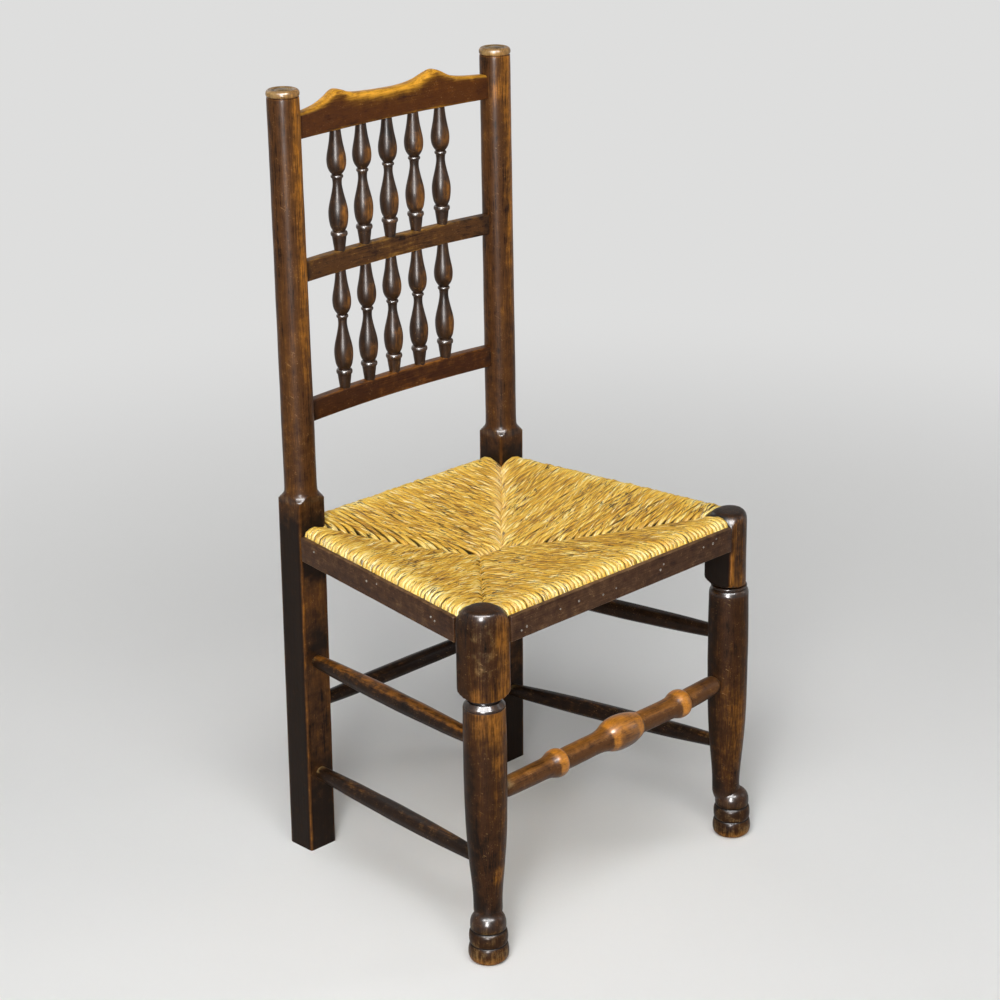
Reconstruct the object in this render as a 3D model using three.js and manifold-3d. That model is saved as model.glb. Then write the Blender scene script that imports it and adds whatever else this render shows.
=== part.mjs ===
// A spindle back side chair: turned and shaved wood with a rush seat, held by round and flat tenons.
// Millimetres. The front faces -Y, +X is to the right seen from the front, +Z is up.
// The origin is on the floor, in the middle of the chair's box.
import * as THREE from "three";
import { mergeVertices } from "three/addons/utils/BufferGeometryUtils.js";
import Module from "manifold-3d";

const wasm = await Module();
wasm.setup();

// The frame as a whole.
const frontSpread = 420.4; // between the axes of the front legs
const rearSpread = 339; // between the axes of the rear posts
const legDepth = 361.2; // from the front legs' axes to the rear feet's
const rearKick = 6.8; // how far the rear feet stand behind the upper posts

// Fits.
const seatGap = 0.3; // between faces that meet
const tenonGap = 0.3; // round a tenon in its socket
const overrun = 6; // how far a cut runs past what it cuts

// Rear posts: square up to a turned shoulder, round above it, with a capped top.
const postSide = 40.4;
const postArris = 2;
const postShoulderAbove = 50; // from the seat rails' centre
const postShoulderRise = 9;
const postBaseRadius = 19.9;
const postNeckRadius = 19;
const capHeight = 15;
const capRadius = 19.4;

// Front legs: a square block at the seat, a turned leg and a pad foot on an axis of its own.
const blockSide = 45.5;
const blockRise = 20.5; // from the seat rails' centre to the block's top
const blockDome = 11.5; // height of the pillowed top
const blockOuterRound = 28;
const blockArris = 3;
const blockLengths = { left: 108.5, right: 95.5 }; // from the top to the turned lower end
const blockUndercut = 7; // rise of the turned lower end to the block's corners
const neckRadius = 17;
const neckBeadHeight = 5;
const neckBeadRadius = 19.5;
const legRadius = 25.3;
const legShoulder = 8;
const footHeight = 62.5;
const footShift = 8; // from the leg's axis to the foot's, outwards along the diagonal
const padRadius = 23.75;

// Seat rails, hidden in the rush.
const railHeight = 24;
const railWidth = 22;
const railArris = 8;
const railCentre = 418; // above the floor
const railTenonRadius = 8;
const railTenonDepth = 18;

// Rush seat.
const rushWrap = 6; // rush over the rails
const rushSag = 24; // from the crown over the rails down to the middle
const rushStuffing = 22; // thickness in the middle
const rushValley = 2.4; // depth of the folds that run in from the corners
const rushMiddle = { x: -33, y: -7 }; // where the four fields meet
const rushRidge = 34; // length of the seam between the front and rear fields
const rushSagPower = 1.5; // how late the top drops towards the middle

// Edge strips, nailed over the rush.
const stripRise = 9; // from the seat rails' centre to the strips' top
const stripHeight = 31;
const stripThickness = 6;

// Stretchers.
const sideRodMiddle = 22.5;
const rodEnd = 16;
const sideUpper = { front: 272, rear: 257 };
const sideLower = { front: 122.5, rear: 104 };
const rearRodMiddle = 21;
const rearRodHeight = 191;
const rodTenonDepth = 22;
const rodNeck = 4; // outside each socket, before a rod starts to swell
const frontRodHeight = 209;
const frontRodEnd = 18;
const frontRodShaft = 23.5;
const bulbDiameter = 40;
const bulbLength = 70;
const bulbPlace = 10.5; // to the right of the middle
const ringDiameter = 31.5;
const ringWidth = 20;
const ringSpread = 107; // from the bulb to each ring
const bulbFullness = 1.5; // the higher, the slimmer the swelling runs out
const ringFullness = 1.1;

// Back rails, bowed to the rear.
const backBow = 11.5;
const crestEnd = 29.5; // height of the crest at its ends
const crestRise = 17.5; // from the ends up to the two peaks
const crestThickness = 16;
const crestRound = 4;
const middleRailHeight = 25;
const lowerRailHeight = 26.5;
const lowerRailRise = 82.5; // from the posts' shoulders
const postTopRise = 32; // of the posts above the crest's ends
const backRailThickness = 13;
const backRailArris = 1.5;
const backTenonThickness = 8;
const backTenonInset = 3; // from the rail's edges to its tenon's
const backTenonDepth = 24;

// Spindles.
const spindleCount = 5;
const lowerSpindleLength = 146.5; // between the rails' edges
const upperSpindleLength = 146;
const spindleSpacing = 42;
const spindlePlace = -1.5; // the middle spindle's distance from the middle
const spindleRadius = 11;
const spindleTenonRadius = 4;
const spindleTenonDepth = 9;

// How many flats turned work has, and how many steps its roundings.
const sides = { post: 20, leg: 18, foot: 18, rod: 10, frontRod: 12, spindle: 10, tenon: 10 };
const steps = { arris: 2, block: 3, ring: 6, bulb: 10 };

// Shapes as shares. Each pair is a place along the piece and a size across it.
const postShoulderShares = [
  [0, 1],
  [0.75, 0.16],
  [1, 0],
];
const legShoulderShares = [
  [0.55, 0.93],
  [0.85, 0.83],
];
const neckBeadShares = [0.2, 0.7];
const neckCoreShare = 0.97; // of the neck, for what runs on inside the block
const ankleShare = 0.7; // of the foot, where the leg above ends inside it
const roundLimitShare = 0.95; // of a square's side, for its largest rounding
const legTaperShares = [
  [0, 0.63],
  [0.11, 0.635],
  [0.18, 0.69],
  [0.28, 0.785],
  [0.37, 0.893],
  [0.47, 0.965],
  [0.6, 1],
  [0.8, 1],
  [1, 0.98],
];
const footShares = [
  [0, 0.86],
  [0.05, 0.97],
  [0.16, 1],
  [0.27, 0.985],
  [0.35, 0.91],
  [0.4, 0.945],
  [0.54, 0.945],
  [0.6, 0.9],
  [0.625, 0.83],
  [0.68, 0.875],
  [0.78, 0.87],
  [0.87, 0.8],
  [0.95, 0.66],
  [1, 0.45],
];
const capShares = [
  [0, 0.93],
  [0.12, 0.975],
  [0.35, 1],
  [0.62, 0.96],
  [0.68, 0.85],
  [0.86, 0.77],
  [0.97, 0.45],
  [1, 0.05],
];
const spindleShares = [
  [0, 0.47],
  [0.115, 0.66],
  [0.125, 0.78],
  [0.163, 0.78],
  [0.172, 0.64],
  [0.235, 0.9],
  [0.326, 1],
  [0.42, 0.82],
  [0.51, 0.56],
  [0.588, 0.5],
  [0.598, 0.59],
  [0.622, 0.59],
  [0.63, 0.62],
  [0.68, 0.9],
  [0.74, 0.99],
  [0.83, 0.78],
  [0.93, 0.53],
  [1, 0.48],
];
const crestShares = [
  [0, 0],
  [0.06, 0.1],
  [0.12, 0.3],
  [0.17, 0.64],
  [0.2, 0.94],
  [0.22, 1],
  [0.245, 0.93],
  [0.29, 0.62],
  [0.36, 0.46],
  [0.47, 0.36],
  [0.58, 0.36],
  [0.65, 0.55],
  [0.7, 0.84],
  [0.74, 1],
  [0.77, 0.84],
  [0.82, 0.42],
  [0.89, 0.16],
  [1, 0],
];
const rodShares = [
  [0, 0],
  [0.06, 0.32],
  [0.16, 0.62],
  [0.32, 0.9],
  [0.5, 1],
  [0.68, 0.9],
  [0.84, 0.62],
  [0.94, 0.32],
  [1, 0],
];
const blockDomeShares = [
  [0, 0],
  [0.35, 0.06],
  [0.68, 0.2],
  [0.9, 0.42],
  [1, 0.72],
];
const rushTopShares = [0.08, 0.3, 0.55, 0.8];
const rushBaseShare = 0.55; // of the way in, where the underside has dropped half way
const rushEdgeShares = [
  [0.9, 0.45],
  [0.2, 1.6],
];
const rushCrownShare = 0.35; // of the rail's width, from its outer face to the crown
const foldShare = 0.2; // of each side, where the corner folds run out
const rushPoints = 8; // points along each side of the seat

// Wood and rush.
const looks = {
  post: { color: 0x3a2415, roughness: 0.45 },
  leg: { color: 0x3f2716, roughness: 0.4 },
  crest: { color: 0x6e3f17, roughness: 0.4 },
  rail: { color: 0x4a2c17, roughness: 0.45 },
  spindle: { color: 0x38251a, roughness: 0.35 },
  rod: { color: 0x3c2416, roughness: 0.5 },
  frontRod: { color: 0x744318, roughness: 0.4 },
  strip: { color: 0x2e1c12, roughness: 0.55 },
  bareWood: { color: 0x8a6a44, roughness: 0.8 },
  rush: { color: 0xc09a45, roughness: 0.75 },
};

// The places that everything else follows.
const postHalf = postSide / 2;
const blockHalf = blockSide / 2;
const frontReach = footShift * Math.SQRT1_2 + padRadius;
const frontLegY = (frontReach - postHalf - legDepth) / 2;
const upperPostY = frontLegY + legDepth - rearKick;
const frontLegX = frontSpread / 2;
const rearPostX = rearSpread / 2;
const railTop = railCentre + railHeight / 2;
const railBottom = railCentre - railHeight / 2;
const stripTop = railCentre + stripRise;
const stripMiddle = stripTop - stripHeight / 2;
const blockTop = railCentre + blockRise;
const postShoulderHeight = railCentre + postShoulderAbove;
const lowerRailBottom = postShoulderHeight + postShoulderRise + lowerRailRise;
const middleRailBottom = lowerRailBottom + lowerRailHeight + lowerSpindleLength;
const crestBottom = middleRailBottom + middleRailHeight + upperSpindleLength;
const crestTop = crestBottom + crestEnd;
const chairHeight = crestTop + postTopRise;

// The rear post's axis leans forward from its foot up to the shoulder and stands upright above it.
function postY(height) {
  const leanShare = Math.max(0, 1 - height / postShoulderHeight);
  return upperPostY + rearKick * leanShare;
}
const postFrontY = postY(railTop) - postHalf;
const postRearY = postY(stripMiddle) + postHalf;
const blockFrontY = frontLegY - blockHalf;
const blockRearY = frontLegY + blockHalf;

// The seat's sides run from the outer faces of the blocks to the outer faces of the posts.
const sideSlope = (frontLegX + blockHalf - rearPostX - postHalf) / (postFrontY - blockRearY);
const sideStretch = Math.hypot(1, sideSlope);
function sideX(y, inset) {
  return rearPostX + postHalf + (postFrontY - y) * sideSlope - inset * sideStretch;
}

// The back rails and spindles follow one bow between the posts' axes.
function bowY(x) {
  return upperPostY + backBow * (1 - (x / rearPostX) ** 2);
}

// A closed geometry as a solid that can be joined and cut.
function solid(geometry) {
  const bare = geometry.clone();
  bare.deleteAttribute("normal");
  bare.deleteAttribute("uv");
  const welded = mergeVertices(bare);
  const corners = welded.index.array;
  const triangles = [];
  for (let i = 0; i < corners.length; i += 3) {
    const [a, b, c] = corners.slice(i, i + 3);
    if (a !== b && b !== c && c !== a) triangles.push(a, b, c);
  }
  return new wasm.Manifold(
    new wasm.Mesh({
      numProp: 3,
      vertProperties: welded.attributes.position.array,
      triVerts: new Uint32Array(triangles),
    }),
  );
}

function box(low, high) {
  const size = high.map((value, i) => value - low[i]);
  const middle = high.map((value, i) => (value + low[i]) / 2);
  return solid(new THREE.BoxGeometry(...size).translate(...middle));
}

// A shape turned round the Z axis from [height, radius] pairs; it closes on the axis at both ends.
function turning(profile, count) {
  const points = profile.map(([height, radius]) => new THREE.Vector2(radius, height));
  points.unshift(new THREE.Vector2(0, profile[0][0]));
  points.push(new THREE.Vector2(0, profile[profile.length - 1][0]));
  return new THREE.LatheGeometry(points, count).rotateX(Math.PI / 2);
}

// The same shape with its axis on the line from one point to another, heights measured from the first.
function turningAlong(from, to, profile, count) {
  const direction = to.clone().sub(from).normalize();
  const turn = new THREE.Quaternion().setFromUnitVectors(new THREE.Vector3(0, 0, 1), direction);
  return solid(turning(profile, count).applyQuaternion(turn).translate(from.x, from.y, from.z));
}

// A skin over rings of points, closed with a fan at the first and the last ring.
// Each ring runs anticlockwise seen from the side of the last ring.
function loft(rings) {
  const count = rings[0].length;
  const places = rings.flat();
  const faces = [];
  for (let r = 0; r + 1 < rings.length; r++) {
    for (let p = 0; p < count; p++) {
      const a = r * count + p;
      const b = r * count + ((p + 1) % count);
      faces.push(a, b, b + count, a, b + count, a + count);
    }
  }
  [0, rings.length - 1].forEach((r) => {
    const hub = places.length;
    const middle = new THREE.Vector3();
    rings[r].forEach((point) => middle.add(point));
    places.push(middle.divideScalar(count));
    for (let p = 0; p < count; p++) {
      const a = r * count + p;
      const b = r * count + ((p + 1) % count);
      if (r === 0) faces.push(hub, b, a);
      else faces.push(hub, a, b);
    }
  });
  const geometry = new THREE.BufferGeometry().setFromPoints(places);
  geometry.setIndex(faces);
  return solid(geometry);
}

// A square outline with rounded corners; radii are given anticlockwise from the +X+Y corner.
function roundedSquare(half, radii, count) {
  const points = [];
  radii.forEach((wanted, i) => {
    const radius = Math.min(wanted, 2 * half * roundLimitShare);
    const start = (i * Math.PI) / 2;
    const signX = i === 0 || i === 3 ? 1 : -1;
    const signY = i < 2 ? 1 : -1;
    for (let k = 0; k <= count; k++) {
      const angle = start + (k / count) * (Math.PI / 2);
      const x = signX * (half - radius) + radius * Math.cos(angle);
      const y = signY * (half - radius) + radius * Math.sin(angle);
      points.push(new THREE.Vector2(x, y));
    }
  });
  return points;
}

// Turned rear post.
function postProfile(grow) {
  const corner = postHalf * Math.SQRT2;
  const capBase = chairHeight - capHeight;
  const shoulder = postShoulderShares.map(([rise, spread]) => [
    postShoulderHeight + rise * postShoulderRise,
    postBaseRadius + spread * (corner - postBaseRadius) + grow,
  ]);
  const cap = capShares.map(([rise, across]) => [capBase + rise * capHeight, across * capRadius + grow]);
  return [
    [0, corner + overrun],
    [postShoulderHeight, corner + overrun],
    ...shoulder,
    [capBase, postNeckRadius + grow],
    ...cap,
  ];
}

function rearPost(side) {
  const outline = roundedSquare(postHalf, Array(4).fill(postArris), steps.arris);
  const stock = loft([0, chairHeight].map((z) => outline.map((p) => new THREE.Vector3(p.x, p.y, z))));
  const straight = stock.intersect(solid(turning(postProfile(0), sides.post)));
  const leaning = toGeometry(straight);
  const place = leaning.getAttribute("position");
  for (let i = 0; i < place.count; i++) {
    place.setXYZ(i, place.getX(i) + side * rearPostX, place.getY(i) + postY(place.getZ(i)), place.getZ(i));
  }
  return solid(leaning);
}

// The round part of a post grown by a gap, to scribe the back rails to it.
function postScribe(side) {
  const round = turning(postProfile(seatGap), sides.post);
  return solid(round.translate(side * rearPostX, upperPostY, 0));
}

// Front leg: block, turned leg and foot.
function frontLeg(side, blockLength) {
  const blockFoot = blockTop - blockLength;
  const radii = [blockArris, blockArris, blockArris, blockArris];
  radii[side < 0 ? 2 : 3] = blockOuterRound;
  const levels = blockDomeShares.map(([rise, insetShare]) => [
    blockTop - blockDome + rise * blockDome,
    1 - insetShare,
  ]);
  const outline = roundedSquare(blockHalf, radii, steps.block);
  const ring = ([z, scale]) => outline.map((p) => new THREE.Vector3(p.x * scale, p.y * scale, z));
  const stock = loft([[blockFoot - overrun, 1], ...levels].map(ring));
  const corner = blockHalf * Math.SQRT2;
  const endCut = turning(
    [
      [blockFoot, neckRadius],
      [blockFoot + blockUndercut, corner],
      [blockTop + overrun, corner],
    ],
    sides.leg,
  );
  const neckFoot = blockFoot - neckBeadHeight - legShoulder;
  const footJoin = footHeight * ankleShare;
  const legLength = neckFoot - footJoin;
  const taper = legTaperShares.map(([along, across]) => [footJoin + along * legLength, across * legRadius]);
  const shoulder = legShoulderShares.map(([rise, across]) => [
    neckFoot + rise * legShoulder,
    across * legRadius,
  ]);
  const beadFoot = neckFoot + legShoulder;
  const bead = neckBeadShares.map((rise) => [beadFoot + rise * neckBeadHeight, neckBeadRadius]);
  const leg = turning(
    [
      ...taper,
      ...shoulder,
      [beadFoot, neckRadius],
      ...bead,
      [blockFoot, neckRadius * neckCoreShare],
      [blockFoot + blockUndercut, neckRadius * neckCoreShare],
    ],
    sides.leg,
  );
  const foot = turning(
    footShares.map(([rise, across]) => [rise * footHeight, across * padRadius]),
    sides.foot,
  );
  const outwards = footShift * Math.SQRT1_2;
  foot.translate(side * outwards, -outwards, 0);
  const whole = stock.intersect(solid(endCut)).add(solid(leg)).add(solid(foot));
  return solid(toGeometry(whole).translate(side * frontLegX, frontLegY, 0));
}

// A straight rod with round ends that go into blind sockets, fuller in the middle.
function rod(from, to, endRadius, middleRadius) {
  const length = from.distanceTo(to);
  const start = rodTenonDepth + rodNeck;
  const swell = rodShares.map(([along, fullness]) => [
    start + along * (length - 2 * start),
    endRadius + (middleRadius - endRadius) * fullness,
  ]);
  const profile = [[0, endRadius], ...swell, [length, endRadius]];
  return turningAlong(from, to, profile, sides.rod);
}

// The radius of a faceted bore whose flats clear a round tenon by the gap.
function boreRadius(radius) {
  return (radius + tenonGap) / Math.cos(Math.PI / sides.tenon);
}

// A blind socket for a round tenon whose tip is at one point and that leaves towards the other.
function socket(tip, towards, radius, depth) {
  const bore = boreRadius(radius);
  const profile = [
    [-tenonGap, bore],
    [depth + overrun, bore],
  ];
  return turningAlong(tip, towards, profile, sides.tenon);
}

// Side stretchers, from the posts' front faces to the front legs.
function sideRod(side, heights) {
  const rear = new THREE.Vector3(side * rearPostX, postY(heights.rear), heights.rear);
  const front = new THREE.Vector3(side * frontLegX, frontLegY, heights.front);
  const along = front.clone().sub(rear).normalize();
  const from = rear.clone().addScaledVector(along, (postHalf - rodTenonDepth) / Math.abs(along.y));
  const to = front.clone().addScaledVector(along, rodTenonDepth - legRadius);
  return { from, to };
}

function rearRod() {
  const reach = rearPostX - postHalf + rodTenonDepth;
  const from = new THREE.Vector3(-reach, postY(rearRodHeight), rearRodHeight);
  return { from, to: from.clone().setX(reach) };
}

function frontRod() {
  const reach = frontLegX - legRadius + rodTenonDepth;
  const from = new THREE.Vector3(-reach, frontLegY, frontRodHeight);
  return { from, to: from.clone().setX(reach) };
}

// A rounded swelling of a turned piece, as [place, radius] pairs.
function swelling(middle, width, low, high, fullness, count) {
  const points = [];
  for (let k = 0; k <= count; k++) {
    const share = k / count;
    const place = middle - (width / 2) * Math.cos(Math.PI * share);
    points.push([place, low + (high - low) * Math.sin(Math.PI * share) ** fullness]);
  }
  return points;
}

function frontRodSolid(ends) {
  const start = ends.from.x;
  const shaft = frontRodShaft / 2;
  const end = frontRodEnd / 2;
  const ring = (place) =>
    swelling(place, ringWidth, shaft, ringDiameter / 2, ringFullness, steps.ring);
  const bulb = swelling(bulbPlace, bulbLength, shaft, bulbDiameter / 2, bulbFullness, steps.bulb);
  const legFace = frontLegX - legRadius;
  const across = [
    [ends.from.x, end],
    [-legFace + rodNeck, end],
    ...ring(bulbPlace - ringSpread),
    ...bulb,
    ...ring(bulbPlace + ringSpread),
    [legFace - rodNeck, end],
    [ends.to.x, end],
  ];
  const profile = across.map(([x, radius]) => [x - start, radius]);
  return turningAlong(ends.from, ends.to, profile, sides.frontRod);
}

// A seat rail on a level line, grown by a gap where it is to cut its channel in the rush.
function railBar(from, to, grow) {
  const along = to.clone().sub(from).normalize();
  const up = new THREE.Vector3(0, 0, 1);
  const across = new THREE.Vector3().crossVectors(up, along);
  const outline = roundedSquare(0.5, Array(4).fill(railArris / railWidth), steps.arris);
  const start = from.clone().addScaledVector(along, -railWidth);
  const finish = to.clone().addScaledVector(along, railWidth);
  const ring = (end) =>
    outline.map((p) =>
      end
        .clone()
        .addScaledVector(across, p.x * (railWidth + 2 * grow))
        .addScaledVector(up, p.y * (railHeight + 2 * grow)),
    );
  return loft([ring(start), ring(finish)]);
}

function railTenon(from, to) {
  const length = from.distanceTo(to);
  const profile = [
    [-railTenonDepth, railTenonRadius],
    [length + railTenonDepth, railTenonRadius],
  ];
  return turningAlong(from, to, profile, sides.tenon);
}

// Both sockets of a rail in one cutter.
function railSockets(from, to) {
  const length = from.distanceTo(to);
  const reach = railTenonDepth + tenonGap;
  const profile = [
    [-reach, boreRadius(railTenonRadius)],
    [length + reach, boreRadius(railTenonRadius)],
  ];
  return turningAlong(from, to, profile, sides.tenon);
}

// The ends of the four seat rails, where their shoulders meet the posts and blocks.
const railInset = stripThickness + seatGap + rushWrap + railWidth / 2;
const railEnds = {
  front: [-1, 1].map((s) => new THREE.Vector3(s * (frontLegX - blockHalf), blockFrontY + railInset, railCentre)),
  rear: [-1, 1].map((s) => new THREE.Vector3(s * (rearPostX - postHalf), postRearY - railInset, railCentre)),
  left: [blockRearY, postFrontY].map((y) => new THREE.Vector3(-sideX(y, railInset), y, railCentre)),
  right: [blockRearY, postFrontY].map((y) => new THREE.Vector3(sideX(y, railInset), y, railCentre)),
};
const wide = chairHeight; // far enough to clear the chair on every side

function seatRail(name) {
  const [from, to] = railEnds[name];
  const low = [-wide, -wide, 0];
  const high = [wide, wide, wide];
  const axis = name === "front" || name === "rear" ? 0 : 1;
  const start = axis === 0 ? from.x : from.y;
  const finish = axis === 0 ? to.x : to.y;
  low[axis] = start + seatGap;
  high[axis] = finish - seatGap;
  const bar = railBar(from, to, 0).intersect(box(low, high));
  const whole = bar.add(railTenon(from, to));
  if (axis === 1) return whole;
  // The tenons of the front and rear rails are cut back where the side rails' tenons cross them.
  return whole
    .subtract(railSockets(...railEnds.left))
    .subtract(railSockets(...railEnds.right));
}

// The seat's outline, moved in from the outer faces of the edge strips.
function seatCorners(inset) {
  const front = blockFrontY + inset;
  const rear = postRearY - inset;
  return [
    new THREE.Vector2(-sideX(front, inset), front),
    new THREE.Vector2(sideX(front, inset), front),
    new THREE.Vector2(sideX(rear, inset), rear),
    new THREE.Vector2(-sideX(rear, inset), rear),
  ];
}

// Points round the seat at one inset, the same count along each side.
function seatLoop(inset) {
  const corners = seatCorners(inset);
  const points = [];
  corners.forEach((corner, i) => {
    const next = corners[(i + 1) % 4];
    for (let k = 0; k < rushPoints; k++) {
      points.push(corner.clone().lerp(next, k / rushPoints));
    }
  });
  return points;
}

// Where the cords of each side end: the two triangles at the ridge's ends, the others along it.
function ridgePoint(index) {
  const field = Math.floor(index / rushPoints);
  const share = (index % rushPoints) / rushPoints;
  const half = rushRidge / 2;
  const acrossShares = [share, 1, 1 - share, 0];
  return new THREE.Vector2(rushMiddle.x - half + acrossShares[field] * rushRidge, rushMiddle.y);
}

function foldDepth(index) {
  const share = (index % rushPoints) / rushPoints;
  const fromCorner = Math.min(share, 1 - share);
  return rushValley * Math.max(0, 1 - fromCorner / foldShare);
}

function rushSeat() {
  const crown = railTop + rushWrap;
  const base = railBottom - rushWrap;
  const face = stripThickness + seatGap;
  const crownInset = face + rushWrap + railWidth * rushCrownShare;
  const inner = seatLoop(crownInset);
  const spread = (share) => inner.map((p, i) => ridgePoint(i).lerp(p, share));
  const middle = crown - rushSag;
  const underside = middle - rushStuffing;
  const ring = (points, height, folded) =>
    points.map((p, i) => new THREE.Vector3(p.x, p.y, height - (folded ? foldDepth(i) : 0)));
  const edge = rushEdgeShares.map(([inset, drop]) => [seatLoop(face + inset * rushWrap), drop * rushWrap]);
  const rings = [
    ring(spread(rushTopShares[0]), underside, false),
    ring(spread(rushBaseShare), (underside + base) / 2, false),
    ring(inner, base, false),
    ...edge.map(([points, drop]) => ring(points, base + drop, false)),
    ring(seatLoop(face), railCentre, false),
    ...edge.reverse().map(([points, drop]) => ring(points, crown - drop, false)),
    ring(inner, crown, true),
  ];
  [...rushTopShares].reverse().forEach((share) => {
    rings.push(ring(spread(share), middle + rushSag * share ** rushSagPower, true));
  });
  let seat = loft(rings);
  Object.values(railEnds).forEach(([from, to]) => {
    seat = seat.subtract(railBar(from, to, seatGap));
  });
  [-1, 1].forEach((side) => {
    const postClear = postHalf + seatGap;
    const blockClear = blockHalf + seatGap;
    const postLow = [side * rearPostX - postClear, postY(railTop) - postClear, 0];
    const postHigh = [side * rearPostX + postClear, postRearY + wide, wide];
    const blockLow = [side * frontLegX - blockClear, -wide, 0];
    const blockHigh = [side * frontLegX + blockClear, frontLegY + blockClear, wide];
    postHigh[0] += side > 0 ? wide : 0;
    postLow[0] -= side < 0 ? wide : 0;
    blockHigh[0] += side > 0 ? wide : 0;
    blockLow[0] -= side < 0 ? wide : 0;
    seat = seat.subtract(box(postLow, postHigh)).subtract(box(blockLow, blockHigh));
  });
  return seat;
}

// Edge strips, flush with the outer faces of the posts and blocks.
function straightStrip(reach, frontY) {
  const low = [-reach + seatGap, frontY, stripTop - stripHeight];
  const high = [reach - seatGap, frontY + stripThickness, stripTop];
  return box(low, high);
}

function sideStrip(side) {
  const front = blockRearY + seatGap;
  const rear = postFrontY - seatGap;
  const ring = (z) => {
    const points = [
      new THREE.Vector3(side * sideX(front, 0), front, z),
      new THREE.Vector3(side * sideX(rear, 0), rear, z),
      new THREE.Vector3(side * sideX(rear, stripThickness), rear, z),
      new THREE.Vector3(side * sideX(front, stripThickness), front, z),
    ];
    return side > 0 ? points : points.reverse();
  };
  return loft([ring(stripTop - stripHeight), ring(stripTop)]);
}

// A bowed back rail between the posts. Its top is given as [share of the span, height] pairs.
function bowedRail(bottom, tops, thickness, rounding) {
  const half = thickness / 2;
  const rings = tops.map(([share, top]) => {
    const x = (share * 2 - 1) * rearPostX;
    const y = bowY(x);
    const arris = backRailArris;
    const inset = rounding * (1 - Math.SQRT1_2);
    const section = [
      [-half + arris, bottom],
      [half - arris, bottom],
      [half, bottom + arris],
      [half, top - rounding],
      [half - inset, top - inset],
      [half - rounding, top],
      [-half + rounding, top],
      [-half + inset, top - inset],
      [-half, top - rounding],
      [-half, bottom + arris],
    ];
    return section.map(([across, z]) => new THREE.Vector3(x, y + across, z));
  });
  return loft(rings);
}

// The flat tenon of a back rail, or its mortise when it is grown by the gap.
function backTenon(side, bottom, top, grow) {
  const face = rearPostX - postNeckRadius;
  const inner = face - postNeckRadius / 2;
  const outer = face + backTenonDepth + grow;
  const xs = [side * inner, side * outer].sort((a, b) => a - b);
  const y = bowY(face);
  const half = backTenonThickness / 2 + grow;
  const low = bottom + backTenonInset - grow;
  const high = top - backTenonInset + grow;
  return box([xs[0], y - half, low], [xs[1], y + half, high]);
}

function backRail(rail) {
  let whole = bowedRail(rail.bottom, rail.tops, rail.thickness, rail.rounding);
  [-1, 1].forEach((side) => {
    whole = whole.subtract(postScribe(side)).add(backTenon(side, rail.bottom, rail.endTop, 0));
  });
  return whole;
}

const evenShares = [0, 0.1, 0.2, 0.3, 0.4, 0.5, 0.6, 0.7, 0.8, 0.9, 1];
function plainRail(bottom, height) {
  return {
    bottom,
    endTop: bottom + height,
    tops: evenShares.map((share) => [share, bottom + height]),
    thickness: backRailThickness,
    rounding: backRailArris,
  };
}
// The crest's shape starts at the posts' faces, inside which it runs level.
const crestReachShare = (rearPostX - postNeckRadius) / rearPostX;
const backRails = {
  crest: {
    bottom: crestBottom,
    endTop: crestTop,
    tops: [
      [0, crestTop],
      ...crestShares.map(([along, rise]) => [
        0.5 + (along - 0.5) * crestReachShare,
        crestTop + rise * crestRise,
      ]),
      [1, crestTop],
    ],
    thickness: crestThickness,
    rounding: crestRound,
  },
  middle: plainRail(middleRailBottom, middleRailHeight),
  lower: plainRail(lowerRailBottom, lowerRailHeight),
};

// A spindle between two rails, with its tenons, standing on the bow.
function spindlePoint(index, z) {
  const x = spindlePlace + (index - (spindleCount - 1) / 2) * spindleSpacing;
  return new THREE.Vector3(x, bowY(x), z);
}

function spindle(index, lowerRail, upperRail) {
  const foot = lowerRail.endTop + seatGap;
  const head = upperRail.bottom - seatGap;
  const turned = spindleShares.map(([along, across]) => [foot + along * (head - foot), across * spindleRadius]);
  const profile = [
    [foot - spindleTenonDepth, spindleTenonRadius],
    [foot, spindleTenonRadius],
    ...turned,
    [head, spindleTenonRadius],
    [head + spindleTenonDepth, spindleTenonRadius],
  ];
  const origin = spindlePoint(index, 0);
  return turningAlong(origin, spindlePoint(index, chairHeight), profile, sides.spindle);
}

function spindleSockets(rail, fromAbove) {
  const bore = boreRadius(spindleTenonRadius);
  const depth = spindleTenonDepth + tenonGap;
  const mouth = fromAbove ? rail.endTop : rail.bottom;
  const heights = fromAbove ? [mouth - depth, mouth + wide] : [mouth - overrun, mouth + depth];
  const profile = heights.map((z) => [z, bore]);
  const bores = [];
  for (let i = 0; i < spindleCount; i++) {
    bores.push(turningAlong(spindlePoint(i, 0), spindlePoint(i, chairHeight), profile, sides.tenon));
  }
  return bores;
}

// Solid back to geometry.
function toGeometry(shape) {
  const mesh = shape.getMesh();
  const geometry = new THREE.BufferGeometry();
  geometry.setAttribute("position", new THREE.BufferAttribute(mesh.vertProperties.slice(), 3));
  geometry.setIndex(new THREE.BufferAttribute(mesh.triVerts.slice(), 1));
  geometry.computeVertexNormals();
  return geometry;
}

const chair = new THREE.Group();
function addPiece(name, shape, look) {
  const material = new THREE.MeshStandardMaterial({ ...look, metalness: 0 });
  const piece = new THREE.Mesh(toGeometry(shape), material);
  piece.name = name;
  chair.add(piece);
}

function cutAll(shape, cutters) {
  return cutters.reduce((rest, cutter) => rest.subtract(cutter), shape);
}

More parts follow.
